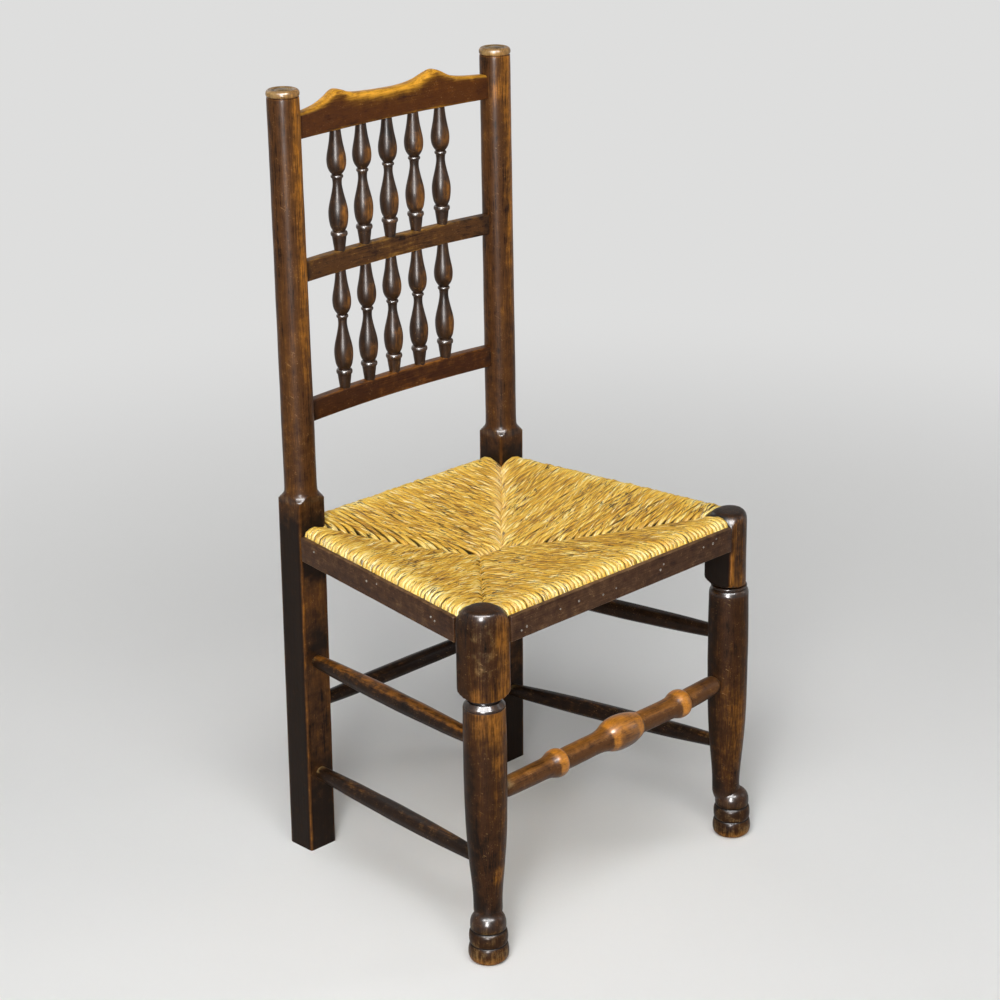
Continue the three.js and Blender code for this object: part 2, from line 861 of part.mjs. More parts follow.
// Stretchers, and the sockets that they need.
const rearEnds = rearRod();
const frontEnds = frontRod();
const rodEndRadius = rodEnd / 2;
[-1, 1].forEach((side) => {
  const name = side < 0 ? "left" : "right";
  const rods = { upper: sideRod(side, sideUpper), lower: sideRod(side, sideLower) };
  const postCuts = [];
  const legCuts = [];
  Object.entries(rods).forEach(([level, { from, to }]) => {
    const piece = rod(from, to, rodEndRadius, sideRodMiddle / 2);
    addPiece(`side_stretcher_${name}_${level}`, piece, looks.rod);
    postCuts.push(socket(from, to, rodEndRadius, rodTenonDepth));
    legCuts.push(socket(to, from, rodEndRadius, rodTenonDepth));
  });
  const rearTips = side < 0 ? [rearEnds.from, rearEnds.to] : [rearEnds.to, rearEnds.from];
  const frontTips = side < 0 ? [frontEnds.from, frontEnds.to] : [frontEnds.to, frontEnds.from];
  postCuts.push(socket(...rearTips, rodEndRadius, rodTenonDepth));
  legCuts.push(socket(...frontTips, frontRodEnd / 2, rodTenonDepth));
  [name, "rear"].forEach((key) => postCuts.push(railSockets(...railEnds[key])));
  [name, "front"].forEach((key) => legCuts.push(railSockets(...railEnds[key])));
  Object.values(backRails).forEach((rail) => {
    postCuts.push(backTenon(side, rail.bottom, rail.endTop, tenonGap));
  });
  addPiece(`rear_post_${name}`, cutAll(rearPost(side), postCuts), looks.post);
  addPiece(`front_leg_${name}`, cutAll(frontLeg(side, blockLengths[name]), legCuts), looks.leg);
  addPiece(`edge_strip_${name}`, sideStrip(side), looks.strip);
});
addPiece("rear_stretcher", rod(rearEnds.from, rearEnds.to, rodEndRadius, rearRodMiddle / 2), looks.rod);
addPiece("front_stretcher", frontRodSolid(frontEnds), looks.frontRod);

// Back.
const crest = cutAll(backRail(backRails.crest), spindleSockets(backRails.crest, false));
addPiece("crest_rail", crest, looks.crest);
const middleSockets = [...spindleSockets(backRails.middle, false), ...spindleSockets(backRails.middle, true)];
addPiece("middle_back_rail", cutAll(backRail(backRails.middle), middleSockets), looks.rail);
const lowerRail = cutAll(backRail(backRails.lower), spindleSockets(backRails.lower, true));
addPiece("lower_back_rail", lowerRail, looks.rail);
for (let i = 0; i < spindleCount; i++) {
  const upper = spindle(i, backRails.middle, backRails.crest);
  const lower = spindle(i, backRails.lower, backRails.middle);
  addPiece(`upper_spindle_${i + 1}`, upper, looks.spindle);
  addPiece(`lower_spindle_${i + 1}`, lower, looks.spindle);
}

// Seat.
Object.keys(railEnds).forEach((name) => {
  addPiece(`seat_rail_${name}`, seatRail(name), looks.bareWood);
});
addPiece("rush_seat", rushSeat(), looks.rush);
const frontStrip = straightStrip(frontLegX - blockHalf, blockFrontY);
addPiece("edge_strip_front", frontStrip, looks.strip);
const rearStrip = straightStrip(rearPostX - postHalf, postRearY - stripThickness);
addPiece("edge_strip_rear", rearStrip, looks.strip);

export default chair;
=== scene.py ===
# %% [markdown]
# # A spindle back chair with a woven rush seat
# The chair is a country side chair. Two long rear posts carry three bowed rails and ten turned
# spindles. Turned front legs with square blocks carry the seat, and rush is twisted into cords and
# woven round four hidden rails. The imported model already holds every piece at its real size, so each
# step here makes the fine surface of one kind of piece in the same place, in metres.

import random
from math import atan2, ceil, cos, exp, hypot, pi, radians, sin, sqrt, tau

import bmesh
import bpy
from mathutils import Matrix, Vector, noise


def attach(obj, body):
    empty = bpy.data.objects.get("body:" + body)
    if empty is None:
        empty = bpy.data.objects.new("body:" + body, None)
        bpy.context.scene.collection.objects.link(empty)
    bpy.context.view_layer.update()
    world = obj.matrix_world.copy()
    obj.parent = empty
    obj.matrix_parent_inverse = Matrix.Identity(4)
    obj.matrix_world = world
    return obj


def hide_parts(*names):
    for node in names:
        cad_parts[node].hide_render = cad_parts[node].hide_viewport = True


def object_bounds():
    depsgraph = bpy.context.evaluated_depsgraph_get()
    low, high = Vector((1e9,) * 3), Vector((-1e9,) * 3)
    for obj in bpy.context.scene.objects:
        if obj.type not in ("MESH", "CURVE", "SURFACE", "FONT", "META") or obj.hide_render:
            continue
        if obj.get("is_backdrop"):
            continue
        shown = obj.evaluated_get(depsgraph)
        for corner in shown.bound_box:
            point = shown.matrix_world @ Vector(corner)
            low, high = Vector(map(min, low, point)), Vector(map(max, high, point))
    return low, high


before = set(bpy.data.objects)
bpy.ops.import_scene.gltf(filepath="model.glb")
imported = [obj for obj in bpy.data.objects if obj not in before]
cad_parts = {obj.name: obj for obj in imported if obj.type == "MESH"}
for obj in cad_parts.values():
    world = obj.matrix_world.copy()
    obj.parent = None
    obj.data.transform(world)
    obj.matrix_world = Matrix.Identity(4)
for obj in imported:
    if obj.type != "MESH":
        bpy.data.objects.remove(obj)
cad_low, cad_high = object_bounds()
MM = 0.001  # a millimetre in metres
print("chair box in mm:", [round((b - a) / MM, 1) for a, b in zip(cad_low, cad_high)])

# %% [markdown]
# ## Sizes that the pieces share
# The fine pieces must stand exactly where the plain ones do, so the chair's main sizes are named
# once here, in millimetres. The front faces -Y and +X is to the right, seen from the front.

# %% Name the chair's sizes
POST_X, LEG_X = 169.5, 210.2
POST_Y, LEG_Y = 178.4034, -175.9966  # the posts' axes above the seat, and the legs'
FOOT_KICK = 6.8  # how far the rear feet stand back
POST_SHOULDER = 468.0
CHAIR_TOP = 965.0
BOW = 11.5  # of the back rails, to the rear
RAILS = {  # foot and top, the crest's top at its ends
    "crest_rail": (903.5, 933.0),
    "middle_back_rail": (732.5, 757.5),
    "lower_back_rail": (559.5, 586.0),
}


def post_y(height):
    return POST_Y + FOOT_KICK * max(0.0, 1 - height / POST_SHOULDER)


def bow_y(x):
    return POST_Y + BOW * (1 - (x / POST_X) ** 2)


print("rear feet at y =", round(post_y(0), 1), "mm, bow of the rails to", round(bow_y(0), 1), "mm")

# %% [markdown]
# ## Camera
# The photograph was taken from the front left corner, a little above the seat. The camera stands at
# the same place with a long lens, so the legs and posts converge as they do there.


# %% Set up the camera
def set_in_scene(name, data):
    """Makes an object of a camera, a lamp or a mesh and puts it in the scene."""
    thing = bpy.data.objects.new(name, data)
    bpy.context.scene.collection.objects.link(thing)
    return thing


# Fitted to the corners that the photograph shows.
PLACE, ANGLES, LENS = (-2.030905, -2.076336, 1.549488), (44.2486, -20.4995, -0.9771), 92.713
yaw, pitch, roll = (radians(a) for a in ANGLES)
forward = Vector((sin(yaw) * cos(pitch), cos(yaw) * cos(pitch), sin(pitch)))
level_right = Vector((cos(yaw), -sin(yaw), 0))
level_up = level_right.cross(forward)
right = level_right * cos(roll) + level_up * sin(roll)
up = level_up * cos(roll) - level_right * sin(roll)
camera = set_in_scene("camera", bpy.data.cameras.new("camera"))
camera.data.sensor_width = 36
camera.data.lens = LENS
camera.data.clip_end = 60
camera.matrix_world = Matrix((right, up, -forward)).transposed().to_4x4()
camera.location = PLACE
bpy.context.scene.camera = camera
print("camera is", round(camera.location.length, 2), "m from the floor under the seat")

# %% [markdown]
# ## Small helpers for materials
# A material is a graph of nodes. These helpers place a node and wire its inputs in one line, so the
# recipes below read as a list of what happens to the floor, the wood or the rush.


# %% Start a material and wire its nodes
def new_material(name):
    material = bpy.data.materials.new(name)
    material.use_nodes = True
    return material, material.node_tree, material.node_tree.nodes["Principled BSDF"]


def wire(tree, node, wires):
    """Sets each input of a node to a value, or links it to the output of another node."""
    for key, value in wires.items():
        if isinstance(value, bpy.types.NodeSocket):
            tree.links.new(value, node.inputs[key])
        else:
            node.inputs[key].default_value = value


def put(tree, kind, wires=None, **settings):
    node = tree.nodes.new(kind)
    for key, value in settings.items():
        setattr(node, key, value)
    wire(tree, node, wires or {})
    return node


def object_place(tree):
    return put(tree, "ShaderNodeTexCoord").outputs["Object"]


def stored(tree, title, part="Fac"):
    """What the points of the mesh store under that title."""
    return put(tree, "ShaderNodeAttribute", attribute_name=title).outputs[part]


print("materials that came with the frame:", len(bpy.data.materials))

# %% Mix colours and numbers
def tint(code):
    """A colour as it is written on screen, such as 8a4f22, in the linear values that nodes use."""
    parts = [int(code[i : i + 2], 16) / 255 for i in (0, 2, 4)]
    return tuple(p / 12.92 if p <= 0.04045 else ((p + 0.055) / 1.055) ** 2.4 for p in parts) + (1.0,)


def reckon(tree, way, *values):
    return put(tree, "ShaderNodeMath", dict(enumerate(values)), operation=way).outputs[0]


def weigh(tree, base, *pairs):
    """The base, moved up or down by each noise (which averages one half) times its weight."""
    total = base
    for value, weight in pairs:
        centred = reckon(tree, "SUBTRACT", value, 0.5)
        total = reckon(tree, "MULTIPLY_ADD", centred, weight, total)
    return total


def fade(tree, value, low, high, end=1.0, start=0.0):
    """Value rises smoothly from start to end between low and high."""
    wires = {"Value": value, "From Min": low, "From Max": high, "To Min": start, "To Max": end}
    return put(tree, "ShaderNodeMapRange", wires, interpolation_type="SMOOTHSTEP").outputs["Result"]


def lay_over(tree, colour, *layers):
    """Lays each layer, a share from 0 to 1 and a colour, over those before it."""
    for share, over in layers:
        wires = {0: share, 6: colour, 7: tint(over) if isinstance(over, str) else over}
        colour = put(tree, "ShaderNodeMix", wires, data_type="RGBA").outputs[2]
    return colour


def shades(tree, value, stops):
    node = put(tree, "ShaderNodeValToRGB", {0: value})
    steps = node.color_ramp.elements
    steps[0].position, steps[1].position = stops[0][0], stops[-1][0]
    for place, _ in stops[1:-1]:
        steps.new(place)
    for step, (_, colour) in zip(steps, stops):
        step.color = tint(colour)
    return node.outputs["Color"]


def speckle(tree, place, scale, detail=4.0, stretch=None, roughness=0.55, distortion=0.0, turned=None):
    """Noise from 0 to 1; stretch draws it out along an axis, and turned slants that axis first."""
    if stretch:
        wires = {"Vector": place, "Scale": tuple(1 / s for s in stretch)}
        wires["Rotation"] = turned or (0, 0, 0)
        place = put(tree, "ShaderNodeMapping", wires, vector_type="TEXTURE").outputs[0]
    wires = {"Vector": place, "Scale": scale, "Detail": detail}
    wires |= {"Roughness": roughness, "Distortion": distortion}
    return put(tree, "ShaderNodeTexNoise", wires).outputs["Fac"]


print("screen brown 8a4f22 is", [round(part, 3) for part in tint("8a4f22")])

# %% [markdown]
# ## Light and floor
# Polished wood shows its shape by what it reflects. A tall lamp stands close behind the camera's
# left shoulder, from the floor up, and draws one upright line of light down every turned piece. A
# wide lamp overhead lights the seat and the shoulders of the rings. Each has a twin that shows only
# in reflections, as wax needs, and two weak lamps open the shadows. The world and the
# far floor are pale for the camera and for reflections, and dimmer where they light the chair.


# %% Hang the lamps
def add_lamp(name, place, size, power, aim=(0, 0, 0.5), lights=True):
    lamp = set_in_scene(name, bpy.data.lights.new(name, "AREA"))
    lamp.data.shape = "RECTANGLE"
    lamp.data.size, lamp.data.size_y = size
    lamp.data.energy = power
    lamp.location = place
    lamp.rotation_mode = "QUATERNION"
    lamp.rotation_quaternion = (Vector(aim) - Vector(place)).to_track_quat("-Z", "Y")
    lamp.visible_camera = False
    lamp.visible_diffuse = lights


add_lamp("tall_lamp", (-2.85, -2.2, 1.6), (0.9, 2.8), 108, aim=(0, 0, 1.1))
add_lamp("top_lamp", (-1.25, -1.3, 2.9), (2.4, 1.0), 60)
add_lamp("tall_glint", (-2.8, -2.25, 1.7), (0.7, 2.6), 680, aim=(0, 0, 1.1), lights=False)
add_lamp("top_glint", (-1.25, -1.3, 2.9), (2.8, 0.6), 980, lights=False)
add_lamp("right_lamp", (2.5, -1.9, 1.5), (0.7, 1.8), 12)
add_lamp("rear_lamp", (0.2, 2.9, 2.1), (2.0, 1.2), 16)
print("lamps:", len(bpy.data.lights))

# %% Light the world
PALE = (0.73, 0.73, 0.725, 1)  # the far walls and floor


def seeing_rays(tree):
    """One for the rays that see the studio: from the camera, in a reflection or through glass."""
    rays = put(tree, "ShaderNodeLightPath").outputs
    seeing = reckon(tree, "MAXIMUM", rays["Is Camera Ray"], rays["Is Glossy Ray"])
    return reckon(tree, "MAXIMUM", seeing, rays["Is Transmission Ray"])


def choose(tree, share, one, other, output):
    """Sends a mix of two shaders to the output node."""
    mixed = put(tree, "ShaderNodeMixShader", {0: share, 1: one.outputs[0], 2: other.outputs[0]})
    wire(tree, tree.nodes[output], {0: mixed.outputs[0]})


world = bpy.data.worlds.new("studio")
bpy.context.scene.world = world
world.use_nodes = True
tree = world.node_tree
wire(tree, tree.nodes["Background"], {"Color": (1, 1, 1, 1), "Strength": 0.14})
seen = put(tree, "ShaderNodeBackground", {"Color": PALE})
choose(tree, seeing_rays(tree), tree.nodes["Background"], seen, "World Output")
bpy.context.scene.view_settings.view_transform = "Standard"
print("strength of the world:", round(tree.nodes["Background"].inputs["Strength"].default_value, 2))

# %% Lay the floor
bm = bmesh.new()
bmesh.ops.create_grid(bm, x_segments=1, y_segments=1, size=20)
floor_mesh = bpy.data.meshes.new("floor")
bm.to_mesh(floor_mesh)
bm.free()
floor_paint, tree, shader = new_material("pale floor")
NEAR, FAR = 0.55, 2.4  # metres from the chair over which the floor turns into the pale wall
# Without specular, the glint lamps don't glare on it.
wire(tree, shader, {"Base Color": (0.84, 0.84, 0.83, 1), "Roughness": 0.9, "Specular IOR Level": 0.0})
glow = put(tree, "ShaderNodeEmission", {"Color": PALE})
distance = put(tree, "ShaderNodeVectorMath", {0: object_place(tree)}, operation="LENGTH")
far_off = fade(tree, distance.outputs["Value"], NEAR, FAR)
share = reckon(tree, "MULTIPLY", seeing_rays(tree), far_off)
choose(tree, share, shader, glow, "Material Output")
floor_mesh.materials.append(floor_paint)
floor = set_in_scene("floor", floor_mesh)
floor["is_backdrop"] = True
print("the floor turns into wall from", NEAR, "to", FAR, "m")

# %% [markdown]
# ## Waxed old wood
# The wood was stained dark, waxed, and rubbed for a century. Four things show: long grain that
# follows the length of each stick, cloudy patches where the stain is warmer, dirt in the grooves, and
# orange bare wood where hands, backs and feet rub. The rubbed places aren't random, so each mesh
# stores them on its points as wear: positive where it is rubbed, negative where dirt gathers. On the
# front legs it is also negative for painted shade, on the faces that the light misses. A second
# value, dust, greys the caps, the feet and the lower stretchers, where the wax has gone
# pale; on the tops of the stretchers' ends it is a painted highlight, and on the posts' left sides
# grey dust and a painted sheen. A third, polish, is on the rings and edges that stand out and that
# every duster reaches first.


# %% Mix one wood
def waxed_wood(
    name, axis, tones, gloss=0.36, streak=0.5, cloud=0.8, patchy=0.9, shine=0.045, wax=0.22,
    polished=False,
):
    """Grain follows the axis. Tones are the deep, middle and warm stain, and the worn wood."""
    deep, body, warm, worn = tones.split()
    material, tree, shader = new_material(name)
    place = object_place(tree)
    along, half_along = (tuple(long if a == axis else 1.0 for a in "XYZ") for long in (0.05, 0.35))
    wide = speckle(tree, place, 130, 4, along, distortion=0.8)
    fine = speckle(tree, place, 520, 3, along)
    hair = speckle(tree, place, 1500, 2, along)
    patches = speckle(tree, place, 24, 4, half_along, roughness=0.6)
    smudge = speckle(tree, place, 90, 5, roughness=0.62)
    lines = (fine, streak), (hair, streak)
    grain = weigh(tree, 0.5, (wide, 0.9 * streak), *lines, (patches, cloud), (smudge, 0.75))
    stain = shades(tree, grain, [(0.18, deep), (0.44, body), (0.58, body), (0.88, warm)])
    rubbed = stored(tree, "wear")
    bare = weigh(tree, rubbed, (smudge, 0.7 * patchy), (fine, streak), (patches, patchy))
    lines = (wide, 0.5), (fine, 1.1 * streak), (hair, 1.4 * streak)
    honey = weigh(tree, 0.7 - 0.13 * patchy, *lines, (smudge, 0.6))
    honey = shades(tree, honey, [(0.15, body), (0.4, warm), (0.75, worn)])
    scuff = speckle(tree, place, 1000, 1, (1, 0.045, 1), turned=(0.5, 0.2, 0.7))
    other = speckle(tree, place, 900, 1, (0.04, 1, 1), turned=(0.3, 0.9, 0.4))
    scuff, other = fade(tree, scuff, 0.68, 0.76, 0.42), fade(tree, other, 0.68, 0.76, 0.38)
    scuffs = reckon(tree, "MAXIMUM", scuff, other)
    scuffs = reckon(tree, "MULTIPLY", scuffs, fade(tree, smudge, 0.47, 0.6))
    flecks = fade(tree, speckle(tree, place, 1250, 1), 0.7, 0.78, 0.18)
    # grey dust, and where the pieces store it there a painted highlight or sheen
    dust = weigh(tree, stored(tree, "dust"), (smudge, 0.9), (fine, 0.5))
    # dark dirt, and on the front legs painted shade, where wear is below zero
    dirt_and_shade = fade(tree, weigh(tree, rubbed, (smudge, 0.7)), -0.02, -0.7, 0.93)
    pits = fade(tree, speckle(tree, place, 620, 2), 0.68, 0.73, 0.75)
    colour = lay_over(
        tree, stain, (fade(tree, bare, 0.12, 1.05), honey), (scuffs, "b08a58"), (flecks, "a07a4c"),
        (fade(tree, dust, 0.25, 1.0, 0.8), "a08658"), (dirt_and_shade, "110a05"), (pits, "0b0705"),
    )
    dull = weigh(tree, gloss, (smudge, 0.3), (fine, 0.3))
    relief = weigh(tree, 0.5, (wide, 0.5), (fine, 0.7), (hair, 0.3), (smudge, 1.1))
    bump = put(tree, "ShaderNodeBump", {"Strength": 0.24, "Distance": 0.0009, "Height": relief})
    coat = 0.08
    if polished:  # the pieces store where
        coat = reckon(tree, "MULTIPLY_ADD", stored(tree, "polish"), 0.55, coat)
    wires = {"Base Color": colour, "Roughness": reckon(tree, "MULTIPLY_ADD", dirt_and_shade, 0.12, dull)}
    wires |= {"Specular IOR Level": shine, "Coat Weight": coat, "Coat Roughness": wax}
    wire(tree, shader, wires | {"Normal": bump.outputs[0]})
    return material


post_wood = waxed_wood("post wood", "Z", "1c1007 482b12 623e17 a86a1e", streak=0.8, polished=True)
print("nodes in the post wood:", len(post_wood.node_tree.nodes))

# %% Mix the other woods
waxing = {"streak": 0.72, "cloud": 1.0, "polished": True}
leg_wood = waxed_wood("leg wood", "Z", "100803 301a07 4c2c0b 85541a", **waxing)
waxing = {"gloss": 0.38, "patchy": 1.2, "shine": 0.09, "wax": 0.28, "polished": True}
spindle_wood = waxed_wood("spindle wood", "Z", "120b06 2d1b0d 472c14 86541a", **waxing)
waxing = {"streak": 0.4, "cloud": 0.45, "patchy": 0.2}
crest_wood = waxed_wood("crest wood", "X", "2a160a 482508 6e3f0b d99c2c", **waxing)
rail_wood = waxed_wood("rail wood", "X", "180e07 482c12 684414 ac7c30", gloss=0.46, streak=0.65)
low_rail_wood = waxed_wood("low rail wood", "X", "160b05 381c08 56300c 8c561d")
strip_wood, side_strip_wood = (
    waxed_wood(name, axis, "1a110a 382214 4c3219 806042", gloss=0.46, streak=0.35)
    for name, axis in (("strip wood", "X"), ("side strip wood", "Y"))
)
rod_wood = waxed_wood("rod wood", "Y", "0a0604 21140b 422a12 9c601a")
rear_rod_wood = waxed_wood("rear rod wood", "X", "080503 1a0f08 301d0c 6e4420")
waxing = {"gloss": 0.4, "streak": 0.35, "patchy": 0.4, "shine": 0.08, "polished": True}
front_rod_wood = waxed_wood("front rod wood", "X", "1e1007 4e2f12 724615 c27c20", **waxing)
bare_wood = waxed_wood("bare wood", "X", "3c2c1c 664c30 785a38 8a6c48", gloss=0.7, cloud=0.3)
print("materials so far:", len(bpy.data.materials))

# %% [markdown]
# ## Turned and planed shapes
# A turner's piece is a profile spun round its axis. The key points of each profile are heights and
# radii in millimetres, joined by a flowing curve; where a point is written twice the curve breaks, as
# a chisel leaves a crisp corner. Square parts are turned oversize and then planed: every point that
# stands outside the rounded square is pulled in to it. Posts and leg blocks are really made so.


# %% Draw a profile and spin it
def between(a, b, at, start, end):
    """The point on the way from a to b at a moment between start and end."""
    return a * (end - at) / (end - start) + b * (at - start) / (end - start)


def flow_line(keys, step=1.2, most=8):
    """Points on a smooth curve through the keys; a repeated key keeps a crisp corner."""
    runs = [[Vector(keys[0])]]
    for key in keys[1:]:
        point = Vector(key)
        if (point - runs[-1][-1]).length < 1e-6:
            runs.append([point])
        else:
            runs[-1].append(point)
    line = [runs[0][0]]
    for run in (r for r in runs if len(r) > 1):
        padded = [run[0] * 2 - run[1], *run, run[-1] * 2 - run[-2]]
        for p0, p1, p2, p3 in zip(padded, padded[1:], padded[2:], padded[3:]):
            t1 = (p1 - p0).length ** 0.5
            t2 = t1 + (p2 - p1).length ** 0.5
            t3 = t2 + (p3 - p2).length ** 0.5
            count = max(1, min(most, ceil((p2 - p1).length / step)))
            for k in range(1, count + 1):
                t = t1 + (t2 - t1) * k / count
                a1 = between(p0, p1, t, 0, t1)
                a2 = between(p1, p2, t, t1, t2)
                a3 = between(p2, p3, t, t2, t3)
                line.append(between(between(a1, a2, t, 0, t2), between(a2, a3, t, t1, t3), t, t1, t2))
    return line


def turn(line, segments):
    """Spins a line of (height, radius) in mm round the Z axis."""
    bm = bmesh.new()
    points = [bm.verts.new((max(radius, 0) * MM, 0, height * MM)) for height, radius in line]
    edges = [bm.edges.new(pair) for pair in zip(points, points[1:])]
    bmesh.ops.spin(
        bm, geom=points + edges, cent=(0, 0, 0), axis=(0, 0, 1), angle=tau,
        steps=segments, use_merge=True,
    )
    bmesh.ops.remove_doubles(bm, verts=bm.verts, dist=1e-6)
    return bm


def read_line(line, height):
    """The radius that a line of (height, radius) gives at that height."""
    if height <= line[0].x:
        return line[0].y
    for a, b in zip(line, line[1:]):
        if a.x <= height <= b.x and b.x > a.x:
            return a.y + (b.y - a.y) * (height - a.x) / (b.x - a.x)
    return line[-1].y


print("points on a curve through 3 keys:", len(flow_line([(0, 5), (10, 8), (20, 5)])))

# %% Plane a square, and leave the marks of a hand
def square_reach(angle, half, rounds):
    """How far a square with rounded corners reaches from its middle at that angle."""
    quarter = int(angle // (pi / 2)) % 4
    rounding = rounds[quarter]
    turned = angle % (pi / 2)
    flat = half / max(cos(turned), sin(turned))
    centre = (half - rounding) * sqrt(2)
    swing = turned - pi / 4
    inside = rounding**2 - (centre * sin(swing)) ** 2
    if inside <= 0:
        return flat
    arc = centre * cos(swing) + sqrt(inside)
    side = flat * min(cos(turned), sin(turned))
    return min(arc, flat) if side > half - rounding else flat


def hand_made(bm, amount=0.25, size=38):
    """Lets every face wander by a fraction of a millimetre, as nothing cut by hand is true."""
    for v in bm.verts:
        wander = noise.noise(v.co / (size * MM)) + 0.4 * noise.noise(v.co / (size * 0.3 * MM))
        v.co += v.normal * wander * amount * MM


print("half a diagonal, rounded by 3 mm:", round(square_reach(pi / 4, 20, [3] * 4), 1), "mm")

# %% Finish a piece
def rise(value, low, high):
    """0 below low, 1 above high, smooth between."""
    share = min(max((value - low) / (high - low), 0), 1)
    return share * share * (3 - 2 * share)


def fall(value, low, high):
    return 1 - rise(value, low, high)


def noise_at(*place):
    """Smooth noise, about -1 to 1."""
    return noise.noise(Vector(place))


def finish_piece(bm, name, material, node=None, slot=None, crisp=38, **marks):
    """Turns a bmesh into a piece that rides on the chair; marks are its wear, dust and polish rules."""
    bmesh.ops.recalc_face_normals(bm, faces=bm.faces)
    bm.normal_update()
    for title, rule in marks.items():
        layer = bm.verts.layers.float.new(title)
        for v in bm.verts:
            v[layer] = rule(v.co / MM, v.normal)
    mesh = bpy.data.meshes.new(name)
    bm.to_mesh(mesh)
    bm.free()
    mesh.polygons.foreach_set("use_smooth", [True] * len(mesh.polygons))
    mesh.set_sharp_from_angle(angle=radians(crisp))
    mesh.materials.append(material)
    piece = set_in_scene(name, mesh)
    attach(piece, "root")
    if node:
        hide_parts(node)
    print(f"{name}: {len(mesh.polygons)} faces")


print("a quarter of the way up, rise gives", rise(0.25, 0, 1))

# %% [markdown]
# ## Spindles
# Each spindle is a vase over a vase. From the foot up: a short cone, a crisp collar, a long belly that
# thins to a neck with a small bead, then a shorter belly under the rail. Only the side that faces the
# sitter's back is rubbed to orange, and only on the bellies, so wear depends on where a point faces
# and on how far out it stands.

# %% Draw a spindle
SPINDLE_KEYS = [  # share of the length, radius in mm
    (0, 0), (0, 6.3), (0, 6.3), (0.04, 7.0), (0.08, 7.8), (0.122, 8.6), (0.127, 8.7), (0.127, 8.7),
    (0.13, 9.6), (0.14, 10.1), (0.153, 10.0), (0.163, 9.3), (0.167, 8.3), (0.169, 7.2), (0.169, 7.2),
    (0.182, 8.4), (0.205, 9.9), (0.24, 11.0), (0.29, 11.7), (0.33, 11.6), (0.365, 10.9), (0.4, 9.8),
    (0.45, 8.0), (0.5, 6.4), (0.54, 5.5), (0.57, 5.5), (0.595, 6.0), (0.597, 6.1), (0.597, 6.1),
    (0.6, 7.0), (0.608, 7.5), (0.617, 7.3), (0.623, 6.6), (0.626, 5.6), (0.626, 5.6), (0.64, 7.4),
    (0.66, 9.3), (0.69, 10.9), (0.74, 11.6), (0.785, 11.0), (0.82, 10.0), (0.888, 8.1), (0.95, 6.9),
    (1, 6.2), (1, 6.2), (1, 0),
]
SPINDLE_X = [-85.5, -43.5, -1.5, 40.5, 82.5]
SPINDLE_ROWS = {"upper": (757.5, 903.5), "lower": (586.0, 732.5)}  # heights of the rails' faces
SPINDLE_LENGTH = 146.0
BETWEEN_ROWS = 745.0
SINK = 1.5  # mm of each end that hides in the rail
print("a spindle is", 2 * max(radius for _, radius in SPINDLE_KEYS), "mm thick")

# %% Rub and polish the spindles
def off_axis(point):
    """How far out a point stands from the axis of its spindle."""
    x = min(SPINDLE_X, key=lambda s: abs(s - point.x))
    return hypot(point.x - x, point.y - bow_y(x))


def spindle_wear(point, normal):
    out = off_axis(point)
    facing = rise(0.17 * normal.x - 0.98 * normal.y, 0.45, 1.0)
    groove = -0.35 * fall(out, 5.4, 6.6)
    return rise(out, 8.6, 11.8) * facing * (0.85 if point.z > BETWEEN_ROWS else 0.6) + groove


def spindle_polish(point, normal):
    foot, _ = SPINDLE_ROWS["lower" if point.z < BETWEEN_ROWS else "upper"]
    share = (point.z - foot) / SPINDLE_LENGTH
    collar = fall(abs(share - 0.145), 0.012, 0.03)
    bead = fall(abs(share - 0.61), 0.012, 0.025)
    return 0.7 * max(collar, bead) * rise(off_axis(point), 5.5, 7)


belly = Vector((SPINDLE_X[0], bow_y(SPINDLE_X[0]) - 11.6, 860))
print("wear on the front of a belly:", round(spindle_wear(belly, Vector((0, -1, 0))), 2))

# %% Turn the ten spindles
marks = {"wear": spindle_wear, "polish": spindle_polish}
for row, (low, high) in SPINDLE_ROWS.items():
    length = high - low + 2 * SINK
    for number, x in enumerate(SPINDLE_X, 1):
        plump = 1 + random.Random(f"{row}{number}").uniform(-0.015, 0.02)
        keys = [(low - SINK + share * length, radius * plump) for share, radius in SPINDLE_KEYS]
        bm = turn(flow_line(keys, step=1.6, most=6), 36)
        bmesh.ops.translate(bm, verts=bm.verts, vec=(x * MM, bow_y(x) * MM, 0))
        name = f"{row}_spindle_{number}"
        finish_piece(bm, name + "_turned", spindle_wood, name, "spindle_wood", **marks)

# %% [markdown]
# ## Back rails
# The two plain rails and the shaped crest are thin boards, bent to the back's bow. A flat grid is
# stretched to the board's outline, thickened by an extrusion, and its long edges are rounded with a
# bevel. Then every point moves back by the bow. The crest's top has two low peaks and is rubbed to
# gold along its whole edge.

# %% Draw the crest
CREST_KEYS = [  # share along, share of the rise
    (0, 0), (0.06, 0.1), (0.12, 0.3), (0.17, 0.64), (0.2, 0.93), (0.22, 1), (0.245, 0.92), (0.29, 0.63),
    (0.36, 0.46), (0.47, 0.36), (0.58, 0.36), (0.65, 0.55), (0.7, 0.84), (0.74, 1), (0.77, 0.84),
    (0.82, 0.42), (0.89, 0.16), (1, 0),
]
CREST_RISE = 17.5
CREST_SPAN = 300.0  # length of the drawing
BOARD_HALF = 150.5  # from the middle to a post
BOARD_REACH = 160.0  # from the middle to the end of a tenon
CREST_LINE = flow_line([(CREST_SPAN * share, CREST_RISE * lift) for share, lift in CREST_KEYS], 2, 10)


def crest_lift(x):
    """Height of the crest's top over its ends at x, in mm."""
    return read_line(CREST_LINE, min(max((x / BOARD_HALF + 1) / 2, 0), 1) * CREST_SPAN)


print("the crest's middle stands", round(crest_lift(0), 1), "mm over its ends")


